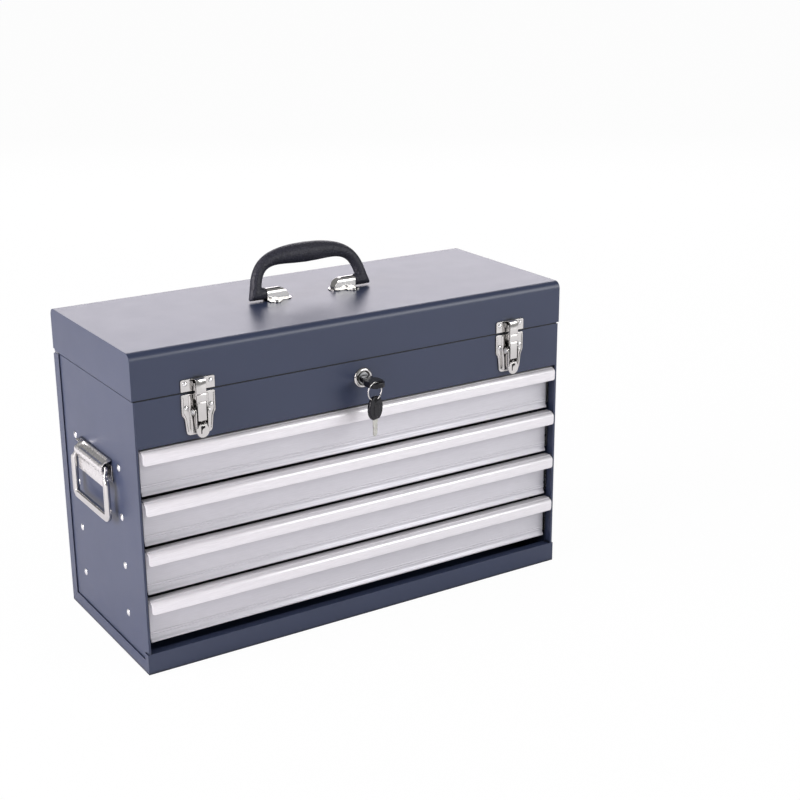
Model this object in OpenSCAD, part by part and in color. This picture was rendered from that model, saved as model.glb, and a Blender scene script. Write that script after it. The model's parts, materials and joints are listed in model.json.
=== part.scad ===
// Portable tool box: a folded sheet-steel cabinet with a top tray, a hinged lid and four drawers
// on telescopic slides. +X is the width, the front faces -Y and +Z is up.
// The origin is the middle of the base, on the surface the box stands on.

/* [Cabinet] */
// Overall width, over the lid and the base flanges
box_w = 510; // [440:1:640]
// Overall depth, over the lid and the base rail
box_d = 209; // [190:1:300]
// Thickness of the cabinet and lid sheet
body_sheet = 1.2; // [0.8:0.1:1.6]
// How far the fascia and the side edges sit behind the lid front
fascia_inset = 0.4; // [0.2:0.1:1]
// Height of the base rail under the drawers
base_rail_h = 22; // [16:1:40]
// Width of the base and rear flanges that lap the side panels
lap_w = 14; // [10:1:20]
// Depth of the base rail's return round the front corners
corner_return = 8; // [5:1:12]
// Height of the upper front panel
fascia_h = 48; // [46:1:80]
// Height of the rim that stands up inside the lid
rim_h = 7; // [4:1:10]
// Sideways step from the panels to the rim
rim_step = 0.8; // [0.7:0.1:1.5]
// Width of the folded hem down each front edge
side_hem_w = 11; // [8:0.5:11.5]
// Thickness of the foam mat in the top tray
tray_mat_t = 3; // [1:0.5:6]
// Height of the turned-up edges of the tray floor
tray_lip_h = 10; // [5:1:14]
// Depth of the fascia's lower return, which carries the front of the tray
fascia_return = 14; // [12.5:0.5:20]
// Depth of the fascia's folded ends
fascia_end = 10; // [6:0.5:14]
// Depth of the return along the top of the base rail
rail_return = 10; // [6:0.5:10.5]

/* [Lid] */
// Height of the lid
lid_h = 46; // [40:1:90]
// Radius of the folds along the top edges
lid_fold_r = 8; // [4:1:14]
// Gap between the lid edge and the cabinet
seam_gap = 1.6; // [0.4:0.1:2.4]
// Width of each stiffening channel inside the lid
stiffener_w = 14; // [10:1:24]
// Depth of each stiffening channel
stiffener_h = 4; // [2:0.5:8]
// Distance of the stiffeners from the handle line
stiffener_offset = 36; // [28:1:45]

/* [Hinge] */
// Length of the piano hinge
hinge_w = 490; // [400:1:500]
// Number of knuckles
hinge_knuckles = 21; // [11:2:31]
// Outer diameter of the knuckles
hinge_barrel_d = 4.2; // [3.6:0.1:5]
// Diameter of the hinge pin
hinge_pin_d = 2; // [1.5:0.1:2.4]
// Height of each hinge leaf
hinge_leaf_h = 16; // [12:1:18]
// Thickness of each hinge leaf
hinge_leaf_t = 0.8; // [0.5:0.1:1]
// Rivets along each leaf
hinge_rivets = 5; // [3:1:9]

/* [Drawers] */
// Height of a drawer front
drawer_front_h = 50; // [46:1:90]
// Gap between two drawer fronts
drawer_gap = 2.6; // [2:0.1:5]
// Gap between the base rail and the lowest front
rail_gap = 7.4; // [3:0.1:12]
// Gap between the fascia and the highest front
fascia_gap = 2.8; // [2:0.1:5]
// Gap between a drawer front's end and the side hem
front_side_gap = 2.4; // [1:0.1:6]
// How far a drawer's face lies behind the fascia
face_recess = 10; // [8:0.5:12]
// How far the pull lip stands in front of the fascia
lip_reach = 2.6; // [0:0.1:8]
// Height of the pull lip
lip_h = 11.5; // [8:0.5:18]
// Thickness of the drawer front profile
front_t = 1.6; // [1.2:0.1:2]
// Forward step at the foot of a drawer front
kick_reach = 2; // [1:0.5:4]
// How much shorter than the lip the face is at each end
face_inset = 4; // [0:0.5:8]
// Thickness of the drawer pan sheet
pan_sheet = 0.8; // [0.6:0.1:1.2]
// Height of a drawer pan
pan_h = 40; // [37:1:42]
// Thickness of the foam mat in a drawer
drawer_mat_t = 2; // [1:0.5:5]
// Gap round each mat
mat_gap = 1; // [0.5:0.1:3]

/* [Slides] */
// Space that a slide takes beside the drawer
slide_w = 12.7; // [12:0.1:14]
// Height of the outer slide member
slide_h = 30; // [24:1:32]
// Thickness of the slide steel
slide_t = 1; // [0.8:0.1:1.2]
// Running clearance between the members
slide_clear = 0.4; // [0.3:0.05:0.6]
// Height of the slide's middle above the foot of the drawer front
slide_rise = 20; // [18:0.5:21]
// Gap between the slide and the back of the drawer front
slide_front_gap = 0.5; // [0.3:0.1:2]
// Room behind the slides
slide_rear_room = 19.5; // [15:0.5:30]
// Distance from the slide's front end to its first rivet
slide_rivet_inset = 36; // [20:1:40]
// Distance between a slide's two rivets
slide_rivet_pitch = 117; // [60:1:125]

/* [Fasteners] */
// Diameter of the rivet heads on the side panels
rivet_head_d = 8; // [6:0.5:10]
// Height of the rivet heads
rivet_head_h = 1.3; // [0.8:0.1:2]
// Diameter of the rivet shanks
rivet_shank_d = 3.6; // [3:0.1:4.5]
// Diameter of the small rivet heads on the latches, hinge and handle
small_head_d = 5; // [4:0.5:6]
// Diameter of the small rivet shanks
small_shank_d = 2.6; // [2:0.1:3]

/* [Top handle] */
// Distance between the middles of the handle's legs, at their feet
handle_w = 132; // [124:1:150]
// Rise of the grip above its pivots, along the middle of the bar
handle_rise = 37.5; // [34:0.5:60]
// Thickness of the grip at its legs
grip_leg_d = 12.4; // [11.5:0.1:14]
// Thickness of the grip in the middle
grip_mid_d = 22; // [16:0.5:26]
// Squareness of the arch, where 2 is an ellipse
handle_square = 4; // [2:0.1:5]
// How much each leg leans inwards for each millimetre that it rises
leg_slope = 0.25; // [0:0.01:0.4]
// Backward lean of the handle at rest, in degrees
handle_lean = 16; // [0:1:25]
// Place of the pivots behind the middle of the lid
handle_y = 4.5; // [-10:0.5:15]
// Height of the pivots above the lid
handle_pivot_h = 7.8; // [7.6:0.1:12]
// Distance from the middle to the outer end of each bracket
bracket_outer = 54; // [48:0.5:56]
// Length of each bracket's half-round part at full height
bracket_len = 14; // [12:1:18]
// Length of the sloping inner end of each bracket
bracket_nose = 12; // [8:1:16]
// Thickness of the bracket sheet
bracket_sheet = 1.2; // [1:0.1:1.6]
// Half the depth of the bracket's flange
bracket_foot = 17; // [15:0.5:20]
// Diameter of the pivot rods
handle_rod_d = 8.4; // [6:0.1:9]

/* [Side handles] */
// Width of the side bails
side_bail_w = 96; // [76:1:100]
// How far a bracket runs past its bail, at each end
bail_end_gap = 0.5; // [0.3:0.1:2]
// Drop of a side bail below its pivot
side_bail_drop = 57; // [50:1:80]
// Middle of the side handles, from the middle of the side
side_handle_y = 0; // [-10:1:10]
// Height of the side handles' pivots
side_handle_z = 203; // [150:1:215]
// Inside radius of the curled bracket
curl_r = 5.6; // [5:0.1:8]
// Width of the bail's bottom strap and legs
bail_strap = 9; // [7:0.5:12]
// Depth of the bail's turned-in rims
bail_rim = 4.5; // [2:0.5:5]
// How far the bracket's lip hangs below the pivot
side_lip_drop = 21; // [11:0.5:30]

/* [Latches] */
// Distance of each latch's middle from the side of the box
latch_inset = 68.4; // [50:0.1:110]
// Width of the latch plates and strikes
latch_w = 36; // [30:1:44]
// Height of the latch plate
latch_plate_h = 42; // [36:0.5:43]
// Gap from the seam down to the latch plate
latch_drop = 1; // [0.5:0.5:5]
// Height of the strike on the lid
strike_h = 12; // [12:0.2:16]
// Thickness of the latch sheet
latch_sheet = 1.2; // [1:0.1:1.4]
// Diameter of the latch pivot pin
latch_pin_d = 3; // [2.4:0.1:3.4]
// Distance of the pivot pin in front of the fascia
latch_pin_out = 5.5; // [5.4:0.1:6.5]
// Width of the claw
claw_w = 9; // [7:0.5:9.5]
// Distance of the claw's pin below the pivot pin
claw_pin_drop = 7.5; // [7:0.1:8]
// Gap between the closed claw and the strike
claw_gap = 0.4; // [0.3:0.1:1]

/* [Lock and keys] */
// Height of the lock above the foot of the fascia
lock_rise = 29; // [26:0.5:30]
// Diameter of the lock's flange
lock_flange_d = 21.2; // [19:0.1:24]
// Diameter of the lock's barrel
lock_barrel_d = 16; // [15:0.5:17]
// Length of the barrel behind the fascia's front
lock_depth = 18; // [14:0.5:22]
// Diameter of the turning plug
lock_plug_d = 12; // [11:0.5:13]
// Length of the cam from the lock's middle
cam_len = 18; // [15:0.5:19]
// Width of the cam
cam_w = 8; // [6:0.5:9]
// Width of the lid catch's foot, on each side of its hook
catch_w = 20; // [16:1:24]
// Width of the key's bow
key_bow_w = 19; // [18:0.5:20]
// Thickness of the key's bow
key_bow_t = 4; // [3.5:0.1:4.2]
// Mean radius of the key ring
key_ring_r = 10; // [10:0.1:11]
// Thickness of the key ring's wire
key_ring_d = 1.4; // [1:0.1:1.5]

/* [Drawer lock] */
// Width of the channel at the middle of the rear wall
channel_w = 26; // [22:1:34]
// Depth of that channel
channel_depth = 9.3; // [8:0.1:9.4]
// Thickness of the lock bar
bar_t = 3; // [2:0.5:4]
// Width of the lock bar's hooks
hook_w = 9; // [6:0.5:10]

/* [Hidden] */
$fn = 48;
cut = 1;              // how far a cutting shape runs past what it cuts
drawer_count = 4;

// Running clearance of a pin in its hole
pin_clear = 0.05;
// Clearance of a rivet shank in its hole
rivet_clear = 0.05;

// Main planes of the cabinet
half_w = box_w / 2;
half_d = box_d / 2;
side_x = half_w - body_sheet;             // outer face of a side panel
side_in = side_x - body_sheet;            // inner face of a side panel
hem_x = side_in - body_sheet;             // inner face of the front hem
fascia_y = -half_d + fascia_inset;        // front face of the fascia
rear_y = half_d - body_sheet;             // inner face of the rear wall
rim_x = side_x - rim_step;                // outer face of the rim at the sides
rim_gap = 0.6;                            // between the rim and the inside of the lid
rim_y = -half_d + body_sheet + rim_gap;   // outer face of the rim at the front
rim_rear_y = half_d - 10;                 // rear end of the side panels' rims
through = 10;                             // how far a rivet's hole is cut to either side
mat_split = 12;                           // where the tray mat gets wider, behind the fascia's front

// Heights, from the base up
drawer_pitch = drawer_front_h + drawer_gap;
stack_h = drawer_count * drawer_pitch - drawer_gap;
first_drawer_z = base_rail_h + rail_gap;
fascia_z = first_drawer_z + stack_h + fascia_gap;
seam_z = fascia_z + fascia_h;
lid_z = seam_z + seam_gap;
lid_top = lid_z + lid_h;
tray_z = fascia_z + body_sheet;           // underside of the tray floor
tray_top = tray_z + body_sheet;

// Piano hinge
barrel_r = hinge_barrel_d / 2;
hinge_y = half_d - barrel_r + 0.9;
hinge_z = seam_z + seam_gap / 2;
hinge_relief = barrel_r + 0.5;            // room round the knuckles
knuckle_pitch = hinge_w / hinge_knuckles;
knuckle_gap = 0.4;
leaf_y = rear_y - hinge_leaf_t;

// Slides, described on the +X side
pan_x = side_in - slide_w;                // outer face of a drawer pan
face_y = fascia_y + face_recess;          // front face of a drawer
front_back_y = face_y + front_t;          // back of the drawer front
lip_y = fascia_y - lip_reach;
slide_y = front_back_y + slide_front_gap;
slide_end_y = half_d - slide_rear_room;
middle_h = slide_h - 2 * (slide_t + slide_clear);
inner_h = middle_h - 2 * (slide_t + slide_clear);
outer_open_x = side_in - slide_w * 0.74;  // open side of each member's section
middle_open_x = side_in - slide_w * 0.71;
middle_web_x = side_in - slide_t - 1.7;
inner_open_x = middle_web_x - slide_t - 1;
pan_end_y = slide_end_y - 1;
pan_rise = 1.5;                           // foot of a pan above the foot of its front
kick_h = 3;                               // height of the step at the foot of a front
lip_drop = 2;                             // top of the lip below the top of its front
lip_bend_r = 2.6;                         // outer radius of the fold above the lip
slide_rivets_y = [for (i = [0, 1]) slide_y + slide_rivet_inset + i * slide_rivet_pitch];

// Drawer lock
channel_front = rear_y - channel_depth;   // front face of the channel's lips
channel_top = hinge_z - hinge_leaf_h - 1;
bar_y = channel_front + body_sheet + 0.4;
bar_w = channel_w - 2 * body_sheet - 0.6;
bar_foot_z = lap_w + 8;
bar_head_z = seam_z - 6;
hook_reach = 7.6;                         // how far a hook stands in front of the bar
finger_t = 1.5;
finger_drop = 5.5;
hook_rise = 41;                           // height of a hook above the foot of its drawer
lug_rise = 30;
lug_end_y = bar_y - hook_reach + finger_t + 2.5;

// Top handle
handle_z = lid_top + handle_pivot_h;
leg_r = grip_leg_d / 2;
bracket_bore_r = handle_rod_d / 2 + pin_clear;
arch_r = bracket_bore_r + bracket_sheet;
grip_end_x = bracket_outer + 0.5;
rod_hold = 7;                             // length of a rod inside the grip
bracket_rivet_x = bracket_outer - bracket_len / 2;
bracket_rivet_y = 13;

// Side handles
barrel_gap = 0.3;                         // between the bail's barrel and the curl
side_sheet = 1.2;
curl_x = side_x + curl_r + side_sheet;    // middle of the curl
side_bracket_len = side_bail_w + 2 * bail_end_gap;
bail_barrel_r = curl_r - barrel_gap;
bail_sheet = 1.4;
side_rivet_drop = 11;
lip_half = side_bail_w / 2 - bail_strap - 1;
side_rivets_y = [for (i = [-1, 1]) side_handle_y + i * side_bracket_len * 0.3];

// Latches, described with u as the distance in front of the fascia
latch_x = half_w - latch_inset;
latch_top_z = seam_z - latch_drop;
latch_pivot_drop = 17.5;                  // from the top of the plate to the pivot
latch_pivot_z = latch_top_z - latch_pivot_drop;
latch_rivet_x = latch_w / 2 - 4.6;
latch_rivet_z = latch_pivot_z + 4;
strike_z = lid_z + 0.3;
strike_rivet_z = strike_z + 8;
strike_u = fascia_inset;                  // the lid stands this far in front of the fascia
strike_loop_u = 3.5;
claw_u = latch_pin_out + latch_pin_d / 2 + 0.4;
claw_t = 1;
claw_pin_r = 1.2;
claw_pin_u = latch_pin_out - 0.5;
arm_x = claw_w / 2 + 1.4;                 // inner face of a lever arm
arm_t = 1.1;
ear_x = arm_x + arm_t + 0.3;              // inner face of a plate ear
lever_len = 26.5;                         // from the pivot to the tip of the lever
lever_tip_z = latch_pivot_z - lever_len;

// Lock
lock_z = fascia_z + lock_rise;
plug_r = lock_plug_d / 2;
plug_end = lock_depth + 0.6;              // shoulder that the cam sits on
cam_t = 2;
stud_r = 4;
plug_out = 1.9;                           // how far the plug stands out of the fascia
nut_h = 3;
keyway_gap = 0.1;
key_slot_u = 29.5;                        // place of the slot in the key's bow
key_blade_w = 7.4;
key_blade_t = 2;
bow_near_u = 17.5;
bow_far_u = 25;
key_in = 15;                              // length of the blade inside the plug
key_out = 9;                              // length of the blade between plug and bow
bow_slot_half = 5;                        // half the length of the slot in the bow
// The ring hangs from the rail between the slot and the side of the bow
bow_side = sqrt(pow(key_bow_w / 2, 2) - pow(key_slot_u - bow_far_u, 2));
ring_rail_x = (bow_slot_half + bow_side) / 2;
rail_r = 2.3;
ring_drop = key_ring_r - key_ring_d / 2 - rail_r - 0.6;

function drawer_z(n) = first_drawer_z + (drawer_count - n) * drawer_pitch;
function u_to_y(u) = fascia_y - u;

// ---------- shared shapes ----------

// A box between two opposite corners
module block(from, to) {
    translate(from) cube(to - from);
}

// A rectangle between two opposite corners
module rect(from, to) {
    translate(from) square(to - from);
}

// Extrudes a profile drawn in Y and Z along X
module along_x(from, to) {
    translate([from, 0, 0]) rotate([90, 0, 90]) linear_extrude(to - from) children();
}

// Extrudes a profile drawn in X and Z along Y
module along_y(from, to) {
    translate([0, to, 0]) rotate([90, 0, 0]) linear_extrude(to - from) children();
}

// The shape and its mirror image on the other side of the box
module both_sides() {
    children();
    mirror([1, 0, 0]) children();
}

// Turns a shape built along +Z so that it points out of the front
module facing_front(place) {
    translate(place) rotate([90, 0, 0]) children();
}

// A rivet through a stack of sheets: its head stands on z = 0 and its shank goes down
module rivet(head_d, shank_d, grip, tail = true) {
    dome_r = (head_d * head_d / 4 + rivet_head_h * rivet_head_h) / (2 * rivet_head_h);
    rotate_extrude() intersection() {
        translate([0, rivet_head_h - dome_r]) circle(dome_r, $fn = 96);
        square([head_d / 2, rivet_head_h]);
    }
    translate([0, 0, -grip]) cylinder(d = shank_d, h = grip + rivet_head_h / 2);
    if (tail) translate([0, 0, -grip - rivet_head_h / 2]) cylinder(d = head_d * 0.75, h = rivet_head_h / 2);
}

// The hole that such a rivet goes through
module rivet_hole(shank_d) {
    translate([0, 0, -through]) cylinder(d = shank_d + 2 * rivet_clear, h = 2 * through);
}

// Places on the right-hand side panel, pointing out of the box
module at_slide_rivets() {
    for (n = [1:drawer_count], y = slide_rivets_y)
        translate([side_x, y, drawer_z(n) + slide_rise]) rotate([0, 90, 0]) children();
}

module at_side_handle_rivets() {
    for (y = side_rivets_y)
        translate([side_x + side_sheet, y, side_handle_z - side_rivet_drop]) rotate([0, 90, 0]) children();
}

// Places along the rear wall, pointing out of the back, at a height above or below the hinge
module at_hinge_rivets(height) {
    pitch = hinge_w / hinge_rivets;
    for (i = [0:hinge_rivets - 1])
        translate([(i - (hinge_rivets - 1) / 2) * pitch, half_d, hinge_z + height])
            rotate([-90, 0, 0]) children();
}

module at_latches() {
    for (side = [-1, 1]) translate([side * latch_x, 0, 0]) children();
}

module at_latch_rivets(u, z) {
    for (side = [-1, 1]) facing_front([side * latch_rivet_x, u_to_y(u), z]) children();
}

module at_handle_rivets() {
    for (side = [-1, 1], row = [-1, 1])
        translate([side * bracket_rivet_x, handle_y + row * bracket_rivet_y, lid_top + bracket_sheet])
            children();
}

// ---------- cabinet ----------

module base_pan() {
    color("#3f465c") {
        // floor, front rail and its top return
        block([-half_w, -half_d, 0], [half_w, rear_y, body_sheet]);
        block([-half_w, -half_d, 0], [half_w, -half_d + body_sheet, base_rail_h]);
        block([-hem_x, -half_d, base_rail_h - body_sheet], [hem_x, -half_d + rail_return, base_rail_h]);
        // rear flange, inside the rear wall
        block([-side_in, rear_y - body_sheet, 0], [side_in, rear_y, lap_w]);
        // side flanges with a mitred rear end, and the rail's corner returns
        both_sides() along_x(side_x, half_w) {
            polygon([[-half_d, 0], [half_d, 0], [half_d - lap_w, lap_w], [-half_d, lap_w]]);
            rect([-half_d, 0], [-half_d + corner_return, base_rail_h]);
        }
    }
}

module rear_panel() {
    mitre_gap = 0.3;
    color("#3f465c") difference() {
        union() {
            block([-side_x, rear_y, 0], [side_x, half_d, seam_z]);
            both_sides() along_x(side_x, half_w) polygon([
                [half_d, mitre_gap], [half_d, seam_z],
                [half_d - lap_w, seam_z], [half_d - lap_w, lap_w + mitre_gap]
            ]);
        }
        block([-half_w - cut, hinge_y - hinge_relief, hinge_z - hinge_relief],
              [half_w + cut, half_d + cut, lid_z]);
        at_hinge_rivets(-hinge_leaf_h * 0.6) rivet_hole(small_shank_d);
    }
}

// The right-hand panel; the left one is its mirror image
module side_panel() {
    rim_start = rim_y + body_sheet;
    color("#3f465c") difference() {
        union() {
            block([side_in, fascia_y, body_sheet], [side_x, rear_y, seam_z]);
            // folded front hem
            block([hem_x, fascia_y, body_sheet],
                  [side_in, min(fascia_y + side_hem_w, slide_y - 0.3), fascia_z]);
            // stepped rim inside the lid
            block([rim_x - body_sheet, rim_start, seam_z - body_sheet], [side_x, rim_rear_y, seam_z]);
            block([rim_x - body_sheet, rim_start, seam_z - body_sheet], [rim_x, rim_rear_y, seam_z + rim_h]);
        }
        // the base rail passes in front of the foot
        block([hem_x - cut, fascia_y - cut, 0], [half_w, -half_d + body_sheet, base_rail_h]);
        block([hem_x - cut, fascia_y - cut, base_rail_h - body_sheet],
              [side_in, -half_d + rail_return, base_rail_h]);
        at_slide_rivets() rivet_hole(rivet_shank_d);
        at_side_handle_rivets() rivet_hole(rivet_shank_d);
    }
}

module side_panel_right() { side_panel(); }
module side_panel_left() { mirror([1, 0, 0]) side_panel(); }

module front_fascia() {
    color("#3f465c") difference() {
        union() {
            along_x(-side_in, side_in) {
                rect([fascia_y, fascia_z], [fascia_y + body_sheet, seam_z]);
                rect([fascia_y, fascia_z], [fascia_y + fascia_return, fascia_z + body_sheet]);
            }
            along_x(-rim_x, rim_x)
                rect([rim_y, seam_z - body_sheet], [rim_y + body_sheet, seam_z + rim_h]);
            along_x(-side_in, side_in)
                rect([fascia_y, seam_z - body_sheet], [rim_y + body_sheet, seam_z]);
            both_sides() block([hem_x, fascia_y, tray_top],
                               [side_in, fascia_y + fascia_end, seam_z - 2 * body_sheet]);
        }
        both_sides() block([side_in, fascia_y - cut, fascia_z], [half_w, rim_y + 2 * body_sheet, seam_z]);
        facing_front([0, fascia_y + through, lock_z]) cylinder(d = lock_barrel_d, h = 2 * through);
        at_latches() at_latch_rivets(latch_sheet, latch_rivet_z) rivet_hole(small_shank_d);
    }
}

module tray_floor() {
    lip_top = tray_top + tray_lip_h;
    color("#3f465c") difference() {
        union() {
            block([-side_in, fascia_y + body_sheet, tray_z], [side_in, rear_y, tray_top]);
            both_sides() block([hem_x, fascia_y + mat_split, tray_z], [side_in, rear_y, lip_top]);
            block([-side_in, rear_y - body_sheet, tray_z], [side_in, rear_y, lip_top]);
        }
        block([-channel_w / 2, channel_front, tray_z - cut], [channel_w / 2, half_d, lip_top + cut]);
    }
}

module tray_mat() {
    front = fascia_y + mat_split;
    rear = rear_y - body_sheet - mat_gap;
    half = hem_x - mat_gap;
    top = tray_top + tray_mat_t;
    color("#17181b") difference() {
        union() {
            block([-half, front, tray_top], [half, rear, top]);
            block([-half, fascia_y + body_sheet + mat_gap, tray_top], [half, front + 1, top]);
        }
        block([-channel_w / 2 - mat_gap, channel_front - mat_gap, tray_top - cut],
              [channel_w / 2 + mat_gap, half_d, top + cut]);
    }
}

// ---------- drawer lock ----------

// A C channel up the rear wall that guides the lock bar
module lock_channel() {
    lip = channel_w / 2 - hook_w / 2 - 1;
    color("#343a4d") translate([0, 0, lap_w + 1]) linear_extrude(channel_top - lap_w - 1) {
        rect([-channel_w / 2, rear_y - body_sheet], [channel_w / 2, rear_y]);
        for (side = [0, 1]) mirror([side, 0]) {
            rect([channel_w / 2 - body_sheet, channel_front], [channel_w / 2, rear_y]);
            rect([channel_w / 2 - lip, channel_front], [channel_w / 2, channel_front + body_sheet]);
        }
    }
}

// The bar that hooks all four drawers when it is pushed down
module lock_bar() {
    color("#b9bcc0") {
        block([-bar_w / 2, bar_y, bar_foot_z], [bar_w / 2, bar_y + bar_t, bar_head_z]);
        for (n = [1:drawer_count]) along_x(-hook_w / 2, hook_w / 2) {
            z = drawer_z(n) + hook_rise;
            rect([bar_y - hook_reach, z], [bar_y + bar_t / 2, z + finger_t]);
            rect([bar_y - hook_reach, z - finger_drop], [bar_y - hook_reach + finger_t, z + finger_t]);
        }
    }
}

module cabinet_rivets() {
    slide_grip = body_sheet + slide_t;
    color("#d9dadd") {
        both_sides() at_slide_rivets() rivet(rivet_head_d, rivet_shank_d, slide_grip);
        both_sides() at_side_handle_rivets()
            rivet(rivet_head_d * 0.8, rivet_shank_d, side_sheet + body_sheet, false);
        at_latches() at_latch_rivets(latch_sheet, latch_rivet_z)
            rivet(small_head_d, small_shank_d, latch_sheet + body_sheet);
        at_hinge_rivets(-hinge_leaf_h * 0.6) rivet(small_head_d, small_shank_d, body_sheet + hinge_leaf_t);
    }
}

// ---------- hinge ----------

// A hinge leaf: it runs from the pin line by hinge_leaf_h, up (dir = 1) or down (dir = -1)
module hinge_leaf(dir, first) {
    z_near = hinge_z + dir * hinge_relief;
    z_far = hinge_z + dir * hinge_leaf_h;
    difference() {
        union() {
            block([-hinge_w / 2, leaf_y, min(z_near, z_far)], [hinge_w / 2, rear_y, max(z_near, z_far)]);
            for (i = [first:2:hinge_knuckles - 1]) {
                x = -hinge_w / 2 + i * knuckle_pitch + knuckle_gap / 2;
                length = knuckle_pitch - knuckle_gap;
                block([x, leaf_y, min(hinge_z, z_near)], [x + length, rear_y, max(hinge_z, z_near)]);
                translate([x, hinge_y, hinge_z]) rotate([0, 90, 0]) cylinder(r = barrel_r, h = length);
            }
        }
        translate([-hinge_w / 2 - cut, hinge_y, hinge_z]) rotate([0, 90, 0])
            cylinder(r = hinge_pin_d / 2 + pin_clear, h = hinge_w + 2 * cut);
        at_hinge_rivets(dir * hinge_leaf_h * 0.6) rivet_hole(small_shank_d);
    }
}

module hinge_leaf_cabinet() { color("#c9cbce") hinge_leaf(-1, 0); }
module hinge_leaf_lid() { color("#c9cbce") hinge_leaf(1, 1); }

module hinge_pin() {
    color("#d2d4d6") translate([-hinge_w / 2, hinge_y, hinge_z]) rotate([0, 90, 0])
        cylinder(d = hinge_pin_d, h = hinge_w);
}

// ---------- slides ----------

// A C section of a given height, open towards -X or +X
module c_section(x_web, x_open, z, height) {
    web = x_open < x_web ? [x_web - slide_t, x_web] : [x_web, x_web + slide_t];
    low = min(x_web, x_open);
    high = max(x_web, x_open);
    rect([web[0], z - height / 2], [web[1], z + height / 2]);
    for (s = [-1, 1]) {
        edge = z + s * height / 2;
        rect([low, min(edge, edge - s * slide_t)], [high, max(edge, edge - s * slide_t)]);
    }
}

module slide_outer_members() {
    color("#c4c6ca") difference() {
        both_sides() along_y(slide_y, slide_end_y) for (n = [1:drawer_count])
            c_section(side_in, outer_open_x, drawer_z(n) + slide_rise, slide_h);
        both_sides() at_slide_rivets() rivet_hole(rivet_shank_d);
    }
}

module slide_middle(n) {
    color("#d0d2d5") both_sides() along_y(slide_y, slide_end_y)
        c_section(middle_web_x, middle_open_x, drawer_z(n) + slide_rise, middle_h);
}

module slide_inner(n) {
    color("#c4c6ca") both_sides() along_y(slide_y, slide_end_y)
        c_section(pan_x, inner_open_x, drawer_z(n) + slide_rise, inner_h);
}

module slide_middle_1() { slide_middle(1); }
module slide_middle_2() { slide_middle(2); }
module slide_middle_3() { slide_middle(3); }
module slide_middle_4() { slide_middle(4); }
module slide_inner_1() { slide_inner(1); }
module slide_inner_2() { slide_inner(2); }
module slide_inner_3() { slide_inner(3); }
module slide_inner_4() { slide_inner(4); }

// ---------- drawers ----------

// The folded tray of a drawer, with the lug that the lock bar hooks
module drawer_pan(n) {
    z = drawer_z(n) + pan_rise;
    lug_z = drawer_z(n) + lug_rise;
    color("#aeb1b6") {
        difference() {
            block([-pan_x, front_back_y, z], [pan_x, pan_end_y, z + pan_h]);
            block([-pan_x + pan_sheet, front_back_y + pan_sheet, z + pan_sheet],
                  [pan_x - pan_sheet, pan_end_y - pan_sheet, z + pan_h + cut]);
        }
        along_x(-hook_w / 2 - 2, hook_w / 2 + 2) {
            rect([pan_end_y - pan_sheet, lug_z], [lug_end_y, lug_z + 1]);
            rect([lug_end_y - 1.2, lug_z], [lug_end_y, lug_z + 4]);
        }
    }
}

// Points along an arc in Y and Z
function arc(middle, r, from, to, steps = 6) =
    [for (i = [0:steps]) let (a = from + (to - from) * i / steps) middle + r * [cos(a), sin(a)]];

// The folded front: a flat face with a kick at its foot and a raised rib, and a longer strip along its
// top that turns down into the pull lip
module drawer_front(n) {
    lip_half = hem_x - front_side_gap;
    face_half = lip_half - face_inset;
    color("#c8c7cd") {
        along_x(-face_half, face_half) drawer_face_outline(drawer_z(n));
        along_x(-lip_half, lip_half) drawer_lip_outline(drawer_z(n) + drawer_front_h);
    }
}

// In Y and Z: up the outside from the foot and back down the inside
module drawer_face_outline(z) {
    kick_y = face_y - kick_reach;
    edge_r = front_t / 2;
    rib_z = z + 9;
    rib = 0.4;
    polygon(concat(
        arc([kick_y + edge_r, z + edge_r], edge_r, 360, 180),
        [[kick_y, z + kick_h], [kick_y + kick_reach / 4, z + kick_h + kick_reach / 2]],
        [[face_y - kick_reach / 4, z + kick_h + kick_reach], [face_y, z + kick_h + kick_reach * 1.5]],
        [[face_y, rib_z - 1], [face_y - rib, rib_z - rib], [face_y - rib, rib_z + rib], [face_y, rib_z + 1]],
        [[face_y, z + drawer_front_h], [front_back_y, z + drawer_front_h]],
        [[front_back_y, z + kick_h + kick_reach], [kick_y + front_t, z + kick_h - 0.6]]
    ));
}

// In Y and Z: along the underside of the strip, round the lip and back over the top
module drawer_lip_outline(top) {
    lip_top = top - lip_drop;
    lip_foot = lip_top - lip_h;
    edge_r = front_t / 2;
    bend = [lip_y + lip_bend_r, lip_top - lip_bend_r];
    bead_y = bend[0] + 1.4;
    bead = 0.5;
    root_y = face_y + edge_r;
    polygon(concat(
        [[root_y, top - 1.5 - front_t]],
        arc(bend, lip_bend_r - front_t, 90, 180),
        arc([lip_y + edge_r, lip_foot + edge_r], edge_r, 360, 180),
        arc(bend, lip_bend_r, 180, 90),
        [[bead_y - 1, lip_top - bead], [bead_y - 0.4, lip_top - bead], [bead_y, lip_top + bead]],
        [[face_y - 3, top - 0.3], [face_y - 2, top], [root_y, top]]
    ));
}

module drawer_mat(n) {
    z = drawer_z(n) + pan_rise + pan_sheet;
    edge = pan_sheet + mat_gap;
    color("#17181b")
        block([-pan_x + edge, front_back_y + edge, z], [pan_x - edge, pan_end_y - edge, z + drawer_mat_t]);
}

module drawer_pan_1() { drawer_pan(1); }
module drawer_pan_2() { drawer_pan(2); }
module drawer_pan_3() { drawer_pan(3); }
module drawer_pan_4() { drawer_pan(4); }
module drawer_front_1() { drawer_front(1); }
module drawer_front_2() { drawer_front(2); }
module drawer_front_3() { drawer_front(3); }
module drawer_front_4() { drawer_front(4); }
module drawer_mat_1() { drawer_mat(1); }
module drawer_mat_2() { drawer_mat(2); }
module drawer_mat_3() { drawer_mat(3); }
module drawer_mat_4() { drawer_mat(4); }

// ---------- lid ----------

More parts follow.
